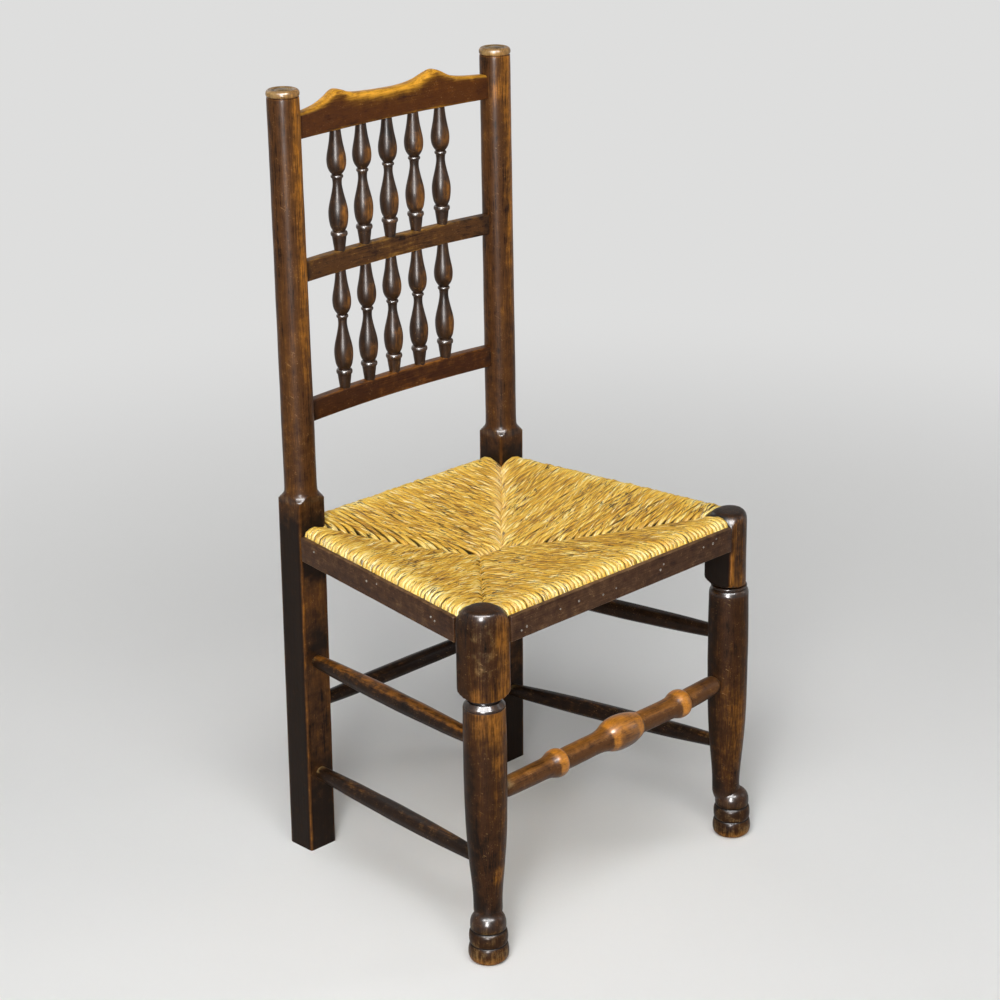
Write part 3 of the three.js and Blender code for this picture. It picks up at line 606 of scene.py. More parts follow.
# %% Bend a board
def bent_board(bottom, top_at, thickness, top_round, bottom_round):
    bm = bmesh.new()
    bmesh.ops.create_grid(bm, x_segments=128, y_segments=8, size=0.5)
    for v in bm.verts:
        x = v.co.x * 2 * BOARD_REACH
        share = v.co.y + 0.5
        v.co = Vector((x, -thickness / 2, bottom + share * (top_at(x) - bottom))) * MM
    grown = bmesh.ops.extrude_face_region(bm, geom=bm.faces[:] + bm.edges[:] + bm.verts[:])
    far = [g for g in grown["geom"] if isinstance(g, bmesh.types.BMVert)]
    bmesh.ops.translate(bm, verts=far, vec=(0, thickness * MM, 0))
    bmesh.ops.recalc_face_normals(bm, faces=bm.faces)
    tops, bottoms = [], []
    for edge in bm.edges:
        if edge.calc_face_angle(0) > 1.2 and abs(edge.verts[0].co.x - edge.verts[1].co.x) > 1e-4:
            lows = abs(edge.verts[0].co.z / MM - bottom) < 0.01
            (bottoms if lows else tops).append(edge)
    for edges, size, count in ((tops, top_round, 5), (bottoms, bottom_round, 2)):
        live = [e for e in edges if e.is_valid]
        bmesh.ops.bevel(
            bm, geom=live, offset=size * MM, segments=count, affect="EDGES", profile=0.5, material=-1
        )
    for v in bm.verts:
        v.co.y += bow_y(v.co.x / MM) * MM
    return bm


print("a board goes", BOARD_REACH - BOARD_HALF, "mm into a post")

# %% Rub and shape the three rails
def crest_wear(point, normal):
    foot, top = RAILS["crest_rail"]
    under_top = top + crest_lift(point.x) - point.z
    middle = fall(abs(point.x + 8), 55, 125)
    edge = (0.85 + 0.4 * middle) * exp(-max(under_top - 1.5, 0) / (2.6 + 2.6 * middle))
    below = 0.35 * fall(point.z - foot, 0.2, 4.5)
    return max(edge, below) + 0.1 * middle - 0.2 * rise(abs(point.x), 122, 150)


def rail_wear(bottom, top):
    def wear(point, normal):
        edge = fall(min(top - point.z, point.z - bottom), 0.3, 2.4)
        middle = 0.25 * fall(abs(point.x), 30, 120)
        return 0.5 * edge + middle - 0.45 * rise(abs(point.x), 128, 152)

    return wear


foot, end = RAILS["crest_rail"]
board = bent_board(foot, lambda x: end + crest_lift(x), 16, 5.0, 1.5)
hand_made(board, 0.2)
finish_piece(board, "crest_board", crest_wood, "crest_rail", "crest_wood", 50, wear=crest_wear)
for name, wood in (("middle_back_rail", rail_wood), ("lower_back_rail", low_rail_wood)):
    bottom, top = RAILS[name]
    board = bent_board(bottom, lambda x: top, 13, 1.6, 1.6)
    hand_made(board, 0.2)
    finish_piece(board, name + "_board", wood, name, "rail_wood", 50, wear=rail_wear(bottom, top))

# %% [markdown]
# ## Rear posts
# One stick makes each rear leg and post. It is left square up to just above the seat, where the
# turner cut a pointed shoulder, and it is round above that up to a small turned cap. Below the
# shoulder the stick leans back. The square part is the turned shape planed flat on four sides.

# %% Draw a post
POST_KEYS = [
    (0, 0), (0, 30), (0, 30), (460, 30), (464.5, 29.6), (467, 28.6), (469.3, 26.6), (471.6, 23.9),
    (474, 21.8), (477, 20.4), (481, 19.9), (560, 19.7), (740, 19.3), (900, 19.0), (953, 18.95),
    (955.2, 18.8), (955.2, 18.8), (955.7, 18.0), (956.5, 18.0), (956.5, 18.0), (957.1, 19.0),
    (958.8, 19.5), (961, 19.4), (963, 18.5), (964.4, 16.8), (964.8, 15), (964.4, 13.2), (963.6, 12),
    (963.2, 10.6), (963.3, 9.2), (964.1, 8), (964.8, 6), (965, 3.5), (965, 0),
]
POST_CAP = 955.0  # where the cap begins, with a groove
POST_HALF, ARRIS = 20.2, 2.4  # half of the square, and the rounding of its corners
print("points in the drawing of a post:", len(POST_KEYS))

# %% Rub, dust and polish the posts, with a painted sheen on their left sides
def knot(point, spot, wide, tall):
    """One at a rubbed spot, less around it, out to nothing a few widths away."""
    across = hypot(point.x - spot[0], point.y - spot[1])
    return exp(-((across / wide) ** 2) - ((point.z - spot[2]) / tall) ** 2)


def post_wear(point, normal):
    out = hypot(abs(point.x) - POST_X, point.y - post_y(point.z))
    facing = 0.72 * normal.x - 0.69 * normal.y
    if point.z < POST_SHOULDER + 6:
        arris = (1.15 + 0.6 * noise_at(0, point.x, point.z / 34)) * rise(out, 26.3, 27.4)
        cloud = 0.42 if point.x < 0 else 0.25
        cloud += 0.8 * noise_at(3, point.x / 40, point.z / 52)
        front = cloud * rise(-normal.y, 0.8, 1) * rise(point.z, 60, 150) * fall(point.z, 330, 400)
        top = 0.45 * rise(point.z, 425, 470)
        return max(arris, front, top) - 0.72
    if point.z > POST_CAP:
        groove = fall(abs(point.z - POST_CAP - 1), 0.2, 0.7)
        well = rise(normal.z, 0.7, 0.95) * fall(out, 10, 15)
        return 0.7 - 0.9 * groove - 0.9 * well
    rubbed = rise(facing, 0.15, 0.95) * (0.3 + 0.45 * rise(point.z, 640, 780))
    spots = 0.9 * knot(point, (-POST_X + 15, post_y(750) - 12, 752), 9, 26)
    spots += 0.5 * knot(point, (POST_X - 12, post_y(915) - 14, 915), 9, 22)
    return rubbed + spots - 0.2 * fall(point.z, 520, 660)


def post_dust(point, normal):
    cap = 0.62 * rise(point.z, POST_CAP + 0.5, POST_CAP + 2.5)
    shoulder = 0.3 * rise(point.z, 462, 468) * fall(point.z, 472, 480)
    # the upper posts' left sides are greyed: grey dust and a painted sheen
    return cap + shoulder + 0.12 * rise(-normal.x, 0.2, 1) * rise(point.z, 500, 600)


def post_polish(point, normal):
    return 0.6 * rise(point.z, 463, 467) * fall(point.z, 471, 476) + 0.3 * rise(point.z, 956, 959)


arris = Vector((POST_X + 19.5, post_y(300) - 19.5, 300))
print("wear on a post's corner:", round(post_wear(arris, Vector((0.7, -0.7, 0))), 2))

# %% Turn and plane the rear posts
marks = {"wear": post_wear, "dust": post_dust, "polish": post_polish}
for side, name in ((-1, "left"), (1, "right")):
    bm = turn(flow_line(POST_KEYS, step=1.1, most=26), 64)
    for v in bm.verts:
        angle = atan2(v.co.y, v.co.x) % tau
        out = hypot(v.co.x, v.co.y)
        if out > 1e-6:
            planed = square_reach(angle, POST_HALF, (ARRIS,) * 4) * MM
            v.co.xy *= min(out, planed) / out
    bm.normal_update()
    hand_made(bm, 0.22)
    for v in bm.verts:
        v.co.z = min(max(v.co.z, 0), CHAIR_TOP * MM)
        v.co.y += post_y(v.co.z / MM) * MM
        v.co.x += side * POST_X * MM
    node = f"rear_post_{name}"
    finish_piece(bm, node + "_stick", post_wood, node, "post_wood", 32, **marks)

# %% [markdown]
# ## Front legs
# Each front leg is a square block over a turned leg. The block's outer corner is rounded away where
# knees pass it, its top is pillowed, and its lower end is turned to a cone over a short neck and a
# bead. The foot is a pad turned on a second centre, so it stands outwards from the leg's own axis.

# %% Draw the front legs
LEG_KEYS = [
    (30, 16.9), (62, 17.0), (76, 17.1), (90, 18.0), (112, 19.9), (138, 22.0), (163, 23.5), (200, 24.6),
    (250, 24.9), (295, 24.7), (317, 24.3),
]
NECKS = {  # from the foot of the neck up: over the leg's shoulder, a bead, and in to the neck
    "left": [
        (0, 24.4), (1.5, 24.3), (1.5, 24.3), (2.1, 23.2), (2.7, 23.2), (2.7, 23.2), (3.2, 23.9),
        (4.2, 23.8), (5.2, 23.1), (7.4, 21.2), (9.5, 19.4), (10.2, 18.3), (10.2, 18.3),
        (10.5, 17.2), (13, 17),
    ],
    "right": [
        (0, 24.4), (2.5, 24.2), (5, 23.5), (6.7, 22.5), (7.4, 21.7), (7.4, 21.7), (7.9, 20.8),
        (8.4, 20.8), (8.4, 20.8), (8.9, 21.7), (10.2, 22.2), (11.4, 22.0), (12.1, 21), (12.4, 18),
        (12.4, 18), (13, 17),
    ],
}
FOOT_KEYS = [
    (0, 17.5), (1, 20.0), (3, 22.0), (6, 23.3), (10, 23.75), (15, 23.5), (19.5, 22.6), (21.2, 21.8),
    (21.2, 21.8), (22, 21.1), (22.8, 21.1), (22.8, 21.1), (24, 22.1), (28, 22.7), (33, 22.7),
    (37, 22.0), (38.6, 20.9), (38.6, 20.9), (39.6, 19.9), (40.6, 19.9), (40.6, 19.9), (42.2, 20.9),
    (46.5, 21.2), (51, 20.8), (55, 19.4), (58.5, 16.9), (61, 13.5), (62.5, 10),
]
DOME_KEYS = [  # height over the block's straight sides, share of its width left
    (0, 1), (3, 0.99), (5.5, 0.965), (7.6, 0.92), (9.3, 0.85), (10.5, 0.74), (11.2, 0.55), (11.5, 0.2),
]
SWELL = [(0.3, 17), (0.5, 19.5), (1.2, 22.2), (2.6, 24.9), (4.8, 27.6), (7.6, 29.8), (10.5, 31.4)]
BLOCK_TOP, BLOCK_HALF, FOOT_SHIFT = 438.5, 22.75, 8.0
PAD_GROOVES = 22, 40
PAD, NECK, DOME = 62.5, 13, 11.5  # heights of the foot, of the neck with its swell, and of the dome
LEG_LINE, FOOT_LINE = flow_line(LEG_KEYS, 2), flow_line(FOOT_KEYS, 1)
DOME_LINE = flow_line(DOME_KEYS, 0.7)
print("a leg is", 2 * max(radius for _, radius in LEG_KEYS), "mm thick")

# %% Shape a front leg
def shifted_reach(radius, angle, shift, direction):
    """Reach, from one centre, of a circle that stands round another one."""
    swing = angle - direction
    inside = radius**2 - (shift * sin(swing)) ** 2
    if inside < 0 or (radius < shift and cos(swing) < 0):
        return 0.0
    return shift * cos(swing) + sqrt(inside)


def lifted(line, height):
    return [Vector((height + h, radius)) for h, radius in line]


def front_leg(side, block_length, neck_keys):
    block_foot = BLOCK_TOP - block_length
    neck_foot = block_foot - NECK
    corner = BLOCK_HALF * sqrt(2) + 1
    outer = 2 if side < 0 else 3
    line = [Vector((0, 0)), *FOOT_LINE]
    line += lifted([(k * 6.0, 20) for k in range(1, int((neck_foot - 64) / 6))], PAD)
    line += lifted(flow_line(neck_keys, 0.8), neck_foot)
    line += lifted([*SWELL, (NECK, corner)], block_foot)
    body = block_length - NECK - DOME
    line += lifted([(body * k / 12, corner) for k in range(1, 13)], block_foot + NECK)
    line += lifted([(h, corner) for h, _ in DOME_LINE[1:]], BLOCK_TOP - DOME)
    bm = turn([*line, Vector((BLOCK_TOP, 0))], 88)
    outwards = -pi / 4 if side > 0 else -3 * pi / 4
    for v in bm.verts:
        height, out = v.co.z / MM, hypot(v.co.x, v.co.y) / MM
        if out < 1e-4:
            continue
        angle = atan2(v.co.y, v.co.x) % tau
        if height <= PAD:
            shank = read_line(LEG_LINE, height) * rise(height, 30, 62) ** 0.5
            pad = shifted_reach(read_line(FOOT_LINE, height), angle, FOOT_SHIFT, outwards)
            wanted = max(shank, pad)
        elif height < neck_foot:
            wanted = read_line(LEG_LINE, height * 317 / neck_foot if height > 200 else height)
        elif height < block_foot:
            wanted = out
        else:
            crown = height - BLOCK_TOP + DOME
            soft = 4.5 + 15 * rise(crown, -6, DOME)
            rounds = [28.0 if quarter == outer else soft for quarter in range(4)]
            wanted = min(out, square_reach(angle, BLOCK_HALF, rounds) * read_line(DOME_LINE, crown))
        v.co.xy *= wanted / out
    bm.normal_update()
    hand_made(bm, 0.25)
    for v in bm.verts:
        v.co.z = max(v.co.z, 0)
        v.co.x += side * LEG_X * MM
        v.co.y += LEG_Y * MM
    return bm


reach = shifted_reach(23.75, 0, FOOT_SHIFT, 0)
print("the pad reaches", reach, "mm out from the leg's axis")

# %% Rub, dust and polish the front legs, and paint shade on them
def leg_wear_and_shade(side, block_foot):
    def wear(point, normal):
        out = hypot(abs(point.x) - LEG_X, point.y - LEG_Y)
        facing = 0.6 * normal.x - 0.8 * normal.y if side < 0 else 0.2 * normal.x - 0.98 * normal.y
        # shaded_side is 1 on the faces turned towards -X and +Y, which get painted shade
        shaded_side = 0.7 * normal.y - 0.72 * normal.x
        if point.z > block_foot:
            foot = 0.3 * fall(point.z - block_foot, 2, 45)
            front = 0.45 * rise(facing, 0.3, 1) + (0.08 if side < 0 else -0.1)
            # painted shade on the block's face turned to the other leg
            inner = -0.8 * rise(-normal.x * side, 0.5, 0.9)
            crown = -0.25 * rise(normal.z, 0.5, 0.9)
            spot = 0.9 * knot(point, (-LEG_X + 6, LEG_Y - 22, 404), 7, 13) if side < 0 else 0.0
            if side > 0 and point.x < LEG_X - 19 and point.y < LEG_Y - 18:
                spot = 1.1 * fall(point.z, 388, 400)
            # the block's faces turned to -X and +Y get painted shade too
            return foot + front + inner + crown + spot - 0.3 * rise(shaded_side, 0.3, 0.9)
        if point.z > block_foot - NECK + 1.5:
            return -0.3 - 0.5 * fall(out, 17.4, 20.5)
        if point.z < PAD + 1.5:
            low_groove, high_groove = (abs(point.z - height) for height in PAD_GROOVES)
            grooves = fall(low_groove, 0.4, 1.6) + fall(high_groove, 0.4, 1.8)
            ball = -0.3 * rise(point.z, 20, 26)
            return 0.75 * fall(point.z, 3, 15) + 0.1 + ball - 0.8 * min(grooves, 1)
        ankle = -0.3 * fall(point.z, 64, 100)
        # painted shade down the side of the leg that the light misses
        shade = -0.42 * rise(shaded_side, 0.15, 0.8)
        if side < 0:
            top = 0.65 * rise(point.z, 255, 312)
            spots = 0.8 * knot(point, (-LEG_X - 2, LEG_Y - 24, 255), 6, 8)
            spots += 0.8 * knot(point, (-LEG_X - 1, LEG_Y - 20, 110), 7, 11)
            return top + ankle + shade + spots + 0.3 * rise(facing, 0.0, 0.95)
        top = -0.05 * rise(point.z, 255, 312)
        calf = 0.2 * fall(point.z, 150, 230) * rise(facing, 0.2, 0.9)
        return top + ankle + shade + calf + 0.16 * rise(facing, 0.0, 0.95)

    return wear


def leg_dust(point, normal):
    foot = 0.3 * fall(point.z, 44, 62) + 0.05 * fall(point.z, 12, 20)
    outer = rise(-0.7 * normal.x - 0.7 * normal.y, 0.5, 1) * fall(normal.z, 0.3, 0.8)
    return foot + (0.29 if point.x < 0 else 0.12) * outer * rise(point.z, 320, 372)


def leg_polish(block_foot):
    def polish(point, normal):
        above_neck = point.z - block_foot
        collar = rise(above_neck, -13.5, -11) * fall(above_neck, -3, 0)
        crown = 0.45 * rise(point.z, 424, 430) * fall(normal.z, 0.75, 0.95)
        ball = 0.5 * rise(point.z, 42, 48) * fall(point.z, 58, 66)
        return max(collar, crown, ball)

    return polish


toe = Vector((-LEG_X, LEG_Y - 20, 2))
print("wear at the foot:", round(leg_wear_and_shade(-1, 330)(toe, Vector((0, -1, 0))), 2))

# %% Turn both front legs
for side, name, block_length in ((-1, "left", 108.5), (1, "right", 95.5)):
    bm = front_leg(side, block_length, NECKS[name])
    block_foot = BLOCK_TOP - block_length
    marks = {"wear": leg_wear_and_shade(side, block_foot), "dust": leg_dust, "polish": leg_polish(block_foot)}
    node = f"front_leg_{name}"
    finish_piece(bm, node + "_stick", leg_wood, node, "leg_wood", 32, **marks)

# %% [markdown]
# ## Stretchers
# The side and rear stretchers were shaved with a drawknife, not turned, so they are full in the
# middle, thin at the ends and faintly flat-sided. Each is turned on Z, faceted a little, and then
# laid along the line between its two sockets. The front stretcher is the showpiece: a long bulb with
# a ring on either side, rubbed orange by feet.


# %% Shave the plain stretchers
def lay_along(bm, start, end):
    """Turns a bmesh that stands on Z so that it runs from start to end."""
    direction = Vector(end) - Vector(start)
    turned = direction.to_track_quat("Z", "X").to_matrix().to_4x4()
    bmesh.ops.transform(bm, matrix=Matrix.Translation(Vector(start) * MM) @ turned, verts=bm.verts)


ROD_END = 8.0  # radius
FULLNESS = (  # share of the length, share of the way from the end's radius to the middle's
    (0, 0), (0.06, 0.3), (0.16, 0.62), (0.32, 0.9), (0.5, 1), (0.68, 0.9), (0.84, 0.62),
    (0.94, 0.3), (1, 0),
)


def shaved_rod(name, start, end, middle, material, seed):
    length = (Vector(end) - Vector(start)).length
    keys = [(0, 0), (0, ROD_END), (0, ROD_END)]
    keys += [(length * share, ROD_END + (middle / 2 - ROD_END) * full) for share, full in FULLNESS]
    keys += [(length, ROD_END), (length, 0)]
    bm = turn(flow_line(keys, step=5, most=10), 32)
    for v in bm.verts:
        angle = atan2(v.co.y, v.co.x)
        along = v.co.z / MM
        flats = 0.022 * cos(8 * angle + seed + 0.6 * sin(along / 60 + seed))
        spot = Vector((cos(angle) * 1.4, sin(angle) * 1.4, along / 55 + seed * 7))
        v.co.xy *= 1 + flats + 0.035 * noise.noise(spot)
    lay_along(bm, start, end)

    def wear(point, normal):
        return (0.75 if "left_upper" in name else 0.3) * rise(normal.z, 0.15, 0.9) - 0.1

    def dust(point, normal):
        # pale on top near each end: a painted highlight there, and grey dust along the lower rods
        near = min((point - Vector(start)).length, (point - Vector(end)).length)
        dust_and_end_highlight = 0.5 * fall(near, 4, 18) + (0.22 if "lower" in name else 0.05)
        return dust_and_end_highlight * rise(normal.z, -0.2, 0.7)

    finish_piece(bm, name + "_rod", material, name, "stretcher_wood", 60, wear=wear, dust=dust)


for side, word in ((-1, "left"), (1, "right")):
    for level, front, rear, seed in (("upper", 272, 257, 1.3), ("lower", 122.5, 104, 2.9)):
        start = (side * POST_X, post_y(rear) - 18.0, rear)
        end = (side * LEG_X, LEG_Y + 17.0, front)
        shaved_rod(f"side_stretcher_{word}_{level}", start, end, 22.5, rod_wood, seed + side)
back = post_y(191)
shaved_rod("rear_stretcher", (-151.5, back, 191), (151.5, back, 191), 21, rear_rod_wood, 5.1)

# %% Draw the front stretcher
RING_LEFT = [
    (-19, 12.7), (-13, 13.5), (-8, 15.2), (-3, 16.8), (2, 17.3), (6, 16.6), (8.8, 15.1), (10.4, 13.2),
    (10.4, 13.2),
]
RING_RIGHT = [
    (-19, 13.5), (-12.5, 14.2), (-7.5, 15.9), (-2.5, 17.4), (2.5, 17.7), (6.6, 16.8), (9.6, 15),
    (11.6, 12.9), (11.6, 12.9),
]
BULB = [
    (-62, 13.2), (-42, 13.1), (-32, 13.8), (-24, 15.6), (-17, 18.2), (-9, 20.2), (-1, 20.9),
    (8, 20.6), (16, 19.6), (23, 17.9), (29, 16), (30.8, 15.3), (30.8, 15.3), (32, 13.9),
    (33.4, 13.4), (33.4, 13.4), (62, 13.4),
]
START_KEYS = [(0, 0), (0, 9), (0, 9), (5.5, 9.2), (8, 10.8), (11.5, 11.7), (20, 12.1), (75, 12.6)]
END_KEYS = [(-38, 12.8), (-13, 12.2), (-9, 11.4), (-6.5, 9.6), (0, 9), (0, 9), (0, 0)]
ROD_REACH, ROD_HEIGHT = 192.0, 209
stretcher_keys = START_KEYS + lifted(RING_LEFT, ROD_REACH - 96.5) + lifted(BULB, ROD_REACH + 10.5)
stretcher_keys += lifted(RING_RIGHT, ROD_REACH + 117.5) + lifted(END_KEYS, 2 * ROD_REACH)
CROOK_KEYS = [  # place along the rod, how far it is bent up there
    (-200, -3.6), (-150, -3.4), (-96, -2.6), (10, 0), (80, 0.2), (125, 1.2), (160, 3.4), (200, 5.8),
]
CROOK = [Vector(key) for key in CROOK_KEYS]
print("the bulb is", 2 * max(radius for _, radius in BULB), "mm thick")

# %% Turn the front stretcher
def rod_out(point):
    """Distance from the crooked axis."""
    return hypot(point.y - LEG_Y, point.z - ROD_HEIGHT - read_line(CROOK, point.x))


def front_rod_wear_and_shade(point, normal):
    out = rod_out(point)
    ends = -0.35 * rise(point.x, 130, 190)
    ring = 0.8 * rise(out, 15.0, 16.8) * (1 - 0.6 * rise(out, 18, 20))
    # tops rubbed orange by feet; painted shade on the underside
    return ring + ends + 0.45 * rise(normal.z, 0.0, 0.9) - 0.35 * rise(-normal.z, 0.1, 0.8)


def front_rod_dust(point, normal):
    ends = 0.4 * rise(abs(point.x), 168, 184) * rise(normal.z, -0.3, 0.6)
    return ends + 0.22 * rise(-point.x, 120, 160)


def front_rod_polish(point, normal):
    return 0.6 * rise(rod_out(point), 14.5, 17)


bm = turn(flow_line(stretcher_keys, step=1.1, most=14), 56)
for v in bm.verts:
    v.co.xy *= 1 + 0.012 * noise.noise(v.co * 42)
lay_along(bm, (-ROD_REACH, LEG_Y, ROD_HEIGHT), (ROD_REACH, LEG_Y, ROD_HEIGHT))
for v in bm.verts:
    v.co.z += read_line(CROOK, v.co.x / MM) * MM
marks = {"wear": front_rod_wear_and_shade, "dust": front_rod_dust, "polish": front_rod_polish}
node = "front_stretcher"
finish_piece(bm, node + "_turned", front_rod_wood, node, node + "_wood", 40, **marks)

# %% [markdown]
# ## Edge strips and their nails
# Thin strips are nailed over the rush to guard its edge. Each starts as a cube, is cut lengthwise into
# short pieces so that it can wander a little, and has its edges softened with a bevel. The nails
# stand in loose pairs where the photograph shows them, with small domed heads worn bright.

# %% Saw the edge strips
STRIP_LOW, STRIP_TOP, STRIP_THICK = 396.0, 427.0, 6.0
FRONT_FACE, REAR_FACE = -198.7466, 199.42
SIDE_SLOPE = 0.1386208
SIDE_FRONT, SIDE_REAR = -153.2466, 158.7555


def side_face(y):
    """Distance from the middle to the outer face of a side strip."""
    return POST_X + 20.2 + (SIDE_REAR - y) * SIDE_SLOPE


def strip_wear(point, normal):
    edge = fall(min(STRIP_TOP - point.z, point.z - STRIP_LOW), 0.3, 2.0)
    return 0.7 * edge + 0.05


def edge_strip(word, low, high, wood):
    bm = bmesh.new()
    bmesh.ops.create_cube(bm, size=1)
    low, size = Vector(low), Vector(high) - Vector(low)
    middle = (low + Vector(high)) / 2
    for v in bm.verts:
        v.co = Vector(m + s * c for m, s, c in zip(middle, size, v.co)) * MM
    bmesh.ops.bevel(
        bm, geom=bm.edges[:], offset=1.3 * MM, segments=3, affect="EDGES", profile=0.5, material=-1
    )
    along = Vector((1, 0, 0) if size.x > size.y else (0, 1, 0))
    for k in range(1, 32):
        spot = (low + size * (k / 32)) * MM
        everything = bm.verts[:] + bm.edges[:] + bm.faces[:]
        bmesh.ops.bisect_plane(bm, geom=everything, plane_co=spot, plane_no=along)
    bm.normal_update()
    hand_made(bm, 0.28, 60)
    side = {"left": -1, "right": 1}.get(word, 0)
    for v in bm.verts:
        v.co.x += side * side_face(v.co.y / MM) * MM
    node = f"edge_strip_{word}"
    finish_piece(bm, node + "_board", wood, node, "strip_wood", wear=strip_wear)


for word, reach, y in (("front", 187.15, FRONT_FACE), ("rear", 149.0, REAR_FACE - STRIP_THICK)):
    edge_strip(word, (-reach, y, STRIP_LOW), (reach, y + STRIP_THICK, STRIP_TOP), strip_wood)
for word, x in (("left", 0.0), ("right", -STRIP_THICK)):
    low, high = (x, SIDE_FRONT + 0.3, STRIP_LOW), (x + STRIP_THICK, SIDE_REAR - 0.3, STRIP_TOP)
    edge_strip(word, low, high, side_strip_wood)

# %% Drive the nails
nail_steel, tree, shader = new_material("worn nail steel")
tarnish = speckle(tree, object_place(tree), 700, 3)
steel = shades(tree, tarnish, [(0.35, "3e362f"), (0.62, "9a9186")])
wires = {"Metallic": 0.85, "Base Color": steel, "Roughness": fade(tree, tarnish, 0.3, 0.7, 0.3, 0.5)}
wire(tree, shader, wires)

FRONT_NAILS = [
    (-171.7, 405.7), (-163.5, 408.2), (-109.3, 412.5), (-79.1, 413.0), (-38.9, 408.6), (-16.8, 410.2),
    (59.2, 410.3), (64.6, 415.9), (135.8, 416.7), (152.8, 416.7), (158.6, 421.0),
]
LEFT_NAILS = [(129.7, 417.1), (18.3, 415.6), (-2.4, 418.5), (-110.0, 413.2), (-117.1, 410.7)]
RIGHT_NAILS = [
    (-128.0, 411.5), (-119.5, 414.0), (-14.0, 412.0), (4.5, 416.5), (112.0, 413.0), (121.0, 409.5),
]
REAR_NAILS = [
    (-131.0, 412.0), (-122.5, 415.0), (-40.0, 410.5), (44.0, 414.5), (52.0, 411.0), (128.0, 413.5),
]


def add_nails(bm, outwards, spots):
    turned = Vector(outwards).to_track_quat("Z", "Y").to_matrix().to_4x4()
    for k, spot in enumerate(spots):
        radius = (1.45 + 0.25 * sin(k * 2.3)) * MM
        head = bmesh.ops.create_uvsphere(bm, u_segments=8, v_segments=5, radius=radius)["verts"]
        bmesh.ops.scale(bm, vec=(1, 1, 0.45), verts=head)
        bmesh.ops.transform(bm, matrix=Matrix.Translation(Vector(spot) * MM) @ turned, verts=head)


bm = bmesh.new()
add_nails(bm, (0, -1, 0), [(x, FRONT_FACE, z) for x, z in FRONT_NAILS])
add_nails(bm, (0, 1, 0), [(x, REAR_FACE, z) for x, z in REAR_NAILS])
add_nails(bm, (-1, -SIDE_SLOPE, 0), [(-side_face(y), y, z) for y, z in LEFT_NAILS])
add_nails(bm, (1, -SIDE_SLOPE, 0), [(side_face(y), y, z) for y, z in RIGHT_NAILS])
finish_piece(bm, "strip_nails", nail_steel, slot="strip_wood")

# %% [markdown]
# ## Rush
# Rush is a marsh grass. Damp leaves are twisted into a cord only on the top and edge, so each cord
# shows long leaf streaks that wind slowly round it. Streaks need a coordinate that follows the cord,
# so every point of a cord stores where it would lie if the cord were pulled straight and untwisted.
# Noise that is stretched along that coordinate gives leaves, pale split straw with painted highlights,
# and brown flecks with painted shade in the gaps between leaves. The sides of a cord, where it meets
# the next one, get painted shade.


# %% Mix the rush
def rush_material(name, stops, lift):
    material, tree, shader = new_material(name)
    strand, rim = stored(tree, "strand", "Vector"), stored(tree, "rim")
    leaf = speckle(tree, strand, 520, 3, (0.03, 1, 1), distortion=0.3)
    streak = speckle(tree, strand, 1150, 2, (0.04, 1, 1))
    stain = speckle(tree, object_place(tree), 24, 4, roughness=0.6)
    calm = reckon(tree, "MULTIPLY_ADD", rim, -0.4, 1.0)
    value = weigh(tree, 0, (leaf, 1.5), (streak, 0.9))
    value = reckon(tree, "MULTIPLY_ADD", value, calm, lift + 0.5)
    value = weigh(tree, value, (stored(tree, "cord_shade"), 0.16), (stain, 0.32))
    value = reckon(tree, "MULTIPLY_ADD", rim, 0.15, value)
    # pale split straw and painted highlights on the leaves, as pale streaks
    straw_and_highlight = speckle(tree, strand, 330, 2, (0.035, 1, 1))
    # brown flecks and painted shade in the deep gaps between leaves
    fleck_and_gap_shade = weigh(tree, speckle(tree, strand, 600, 2, (0.15, 1, 1)), (stain, 0.4))
    # painted shade on the sides of each cord, where it meets the next one
    gap_shade = weigh(tree, stored(tree, "gap_shade"), (leaf, 1.0), (stain, 0.6))
    colour = lay_over(
        tree, shades(tree, value, stops), (fade(tree, straw_and_highlight, 0.62, 0.68, 0.8), "f6e4a6"),
        (fade(tree, fleck_and_gap_shade, 0.61, 0.66, 0.88), "38240a"),
        (fade(tree, gap_shade, 0.25, 0.95, 0.82), "3a2509"),
    )
    relief = weigh(tree, 0.5, (leaf, 1.6), (streak, 0.8))
    bump = put(tree, "ShaderNodeBump", {"Strength": 0.5, "Distance": 0.001, "Height": relief})
    wires = {"Base Color": colour, "Roughness": fade(tree, streak, 0.35, 0.65, 0.42, 0.58)}
    wire(tree, shader, wires | {"Specular IOR Level": 0.15, "Normal": bump.outputs[0]})
    return material


RUSH_SHADES = [
    (0.06, "34210a"), (0.24, "835a12"), (0.4, "b9881c"), (0.56, "d6a42c"), (0.74, "e8c65a"),
    (0.94, "f9ecb4"),
]
rush = rush_material("golden rush", RUSH_SHADES, 0.03)
print("rush is mixed from", len(rush.node_tree.nodes), "nodes")

# %% [markdown]
# ## The woven seat
# A rush seat has four fields. In each one the cords lie side by side, square to the front rail or in
# line with it, wrap the rail, and end where they meet the next field. There each cord dives under its
# neighbours, which draws the four diagonal seams. One run of cord is modelled at a time: a flat grid
# is rolled to a tube and bent along the path of the cord, from the seam underneath, round the rail and
# back to the seam on top.

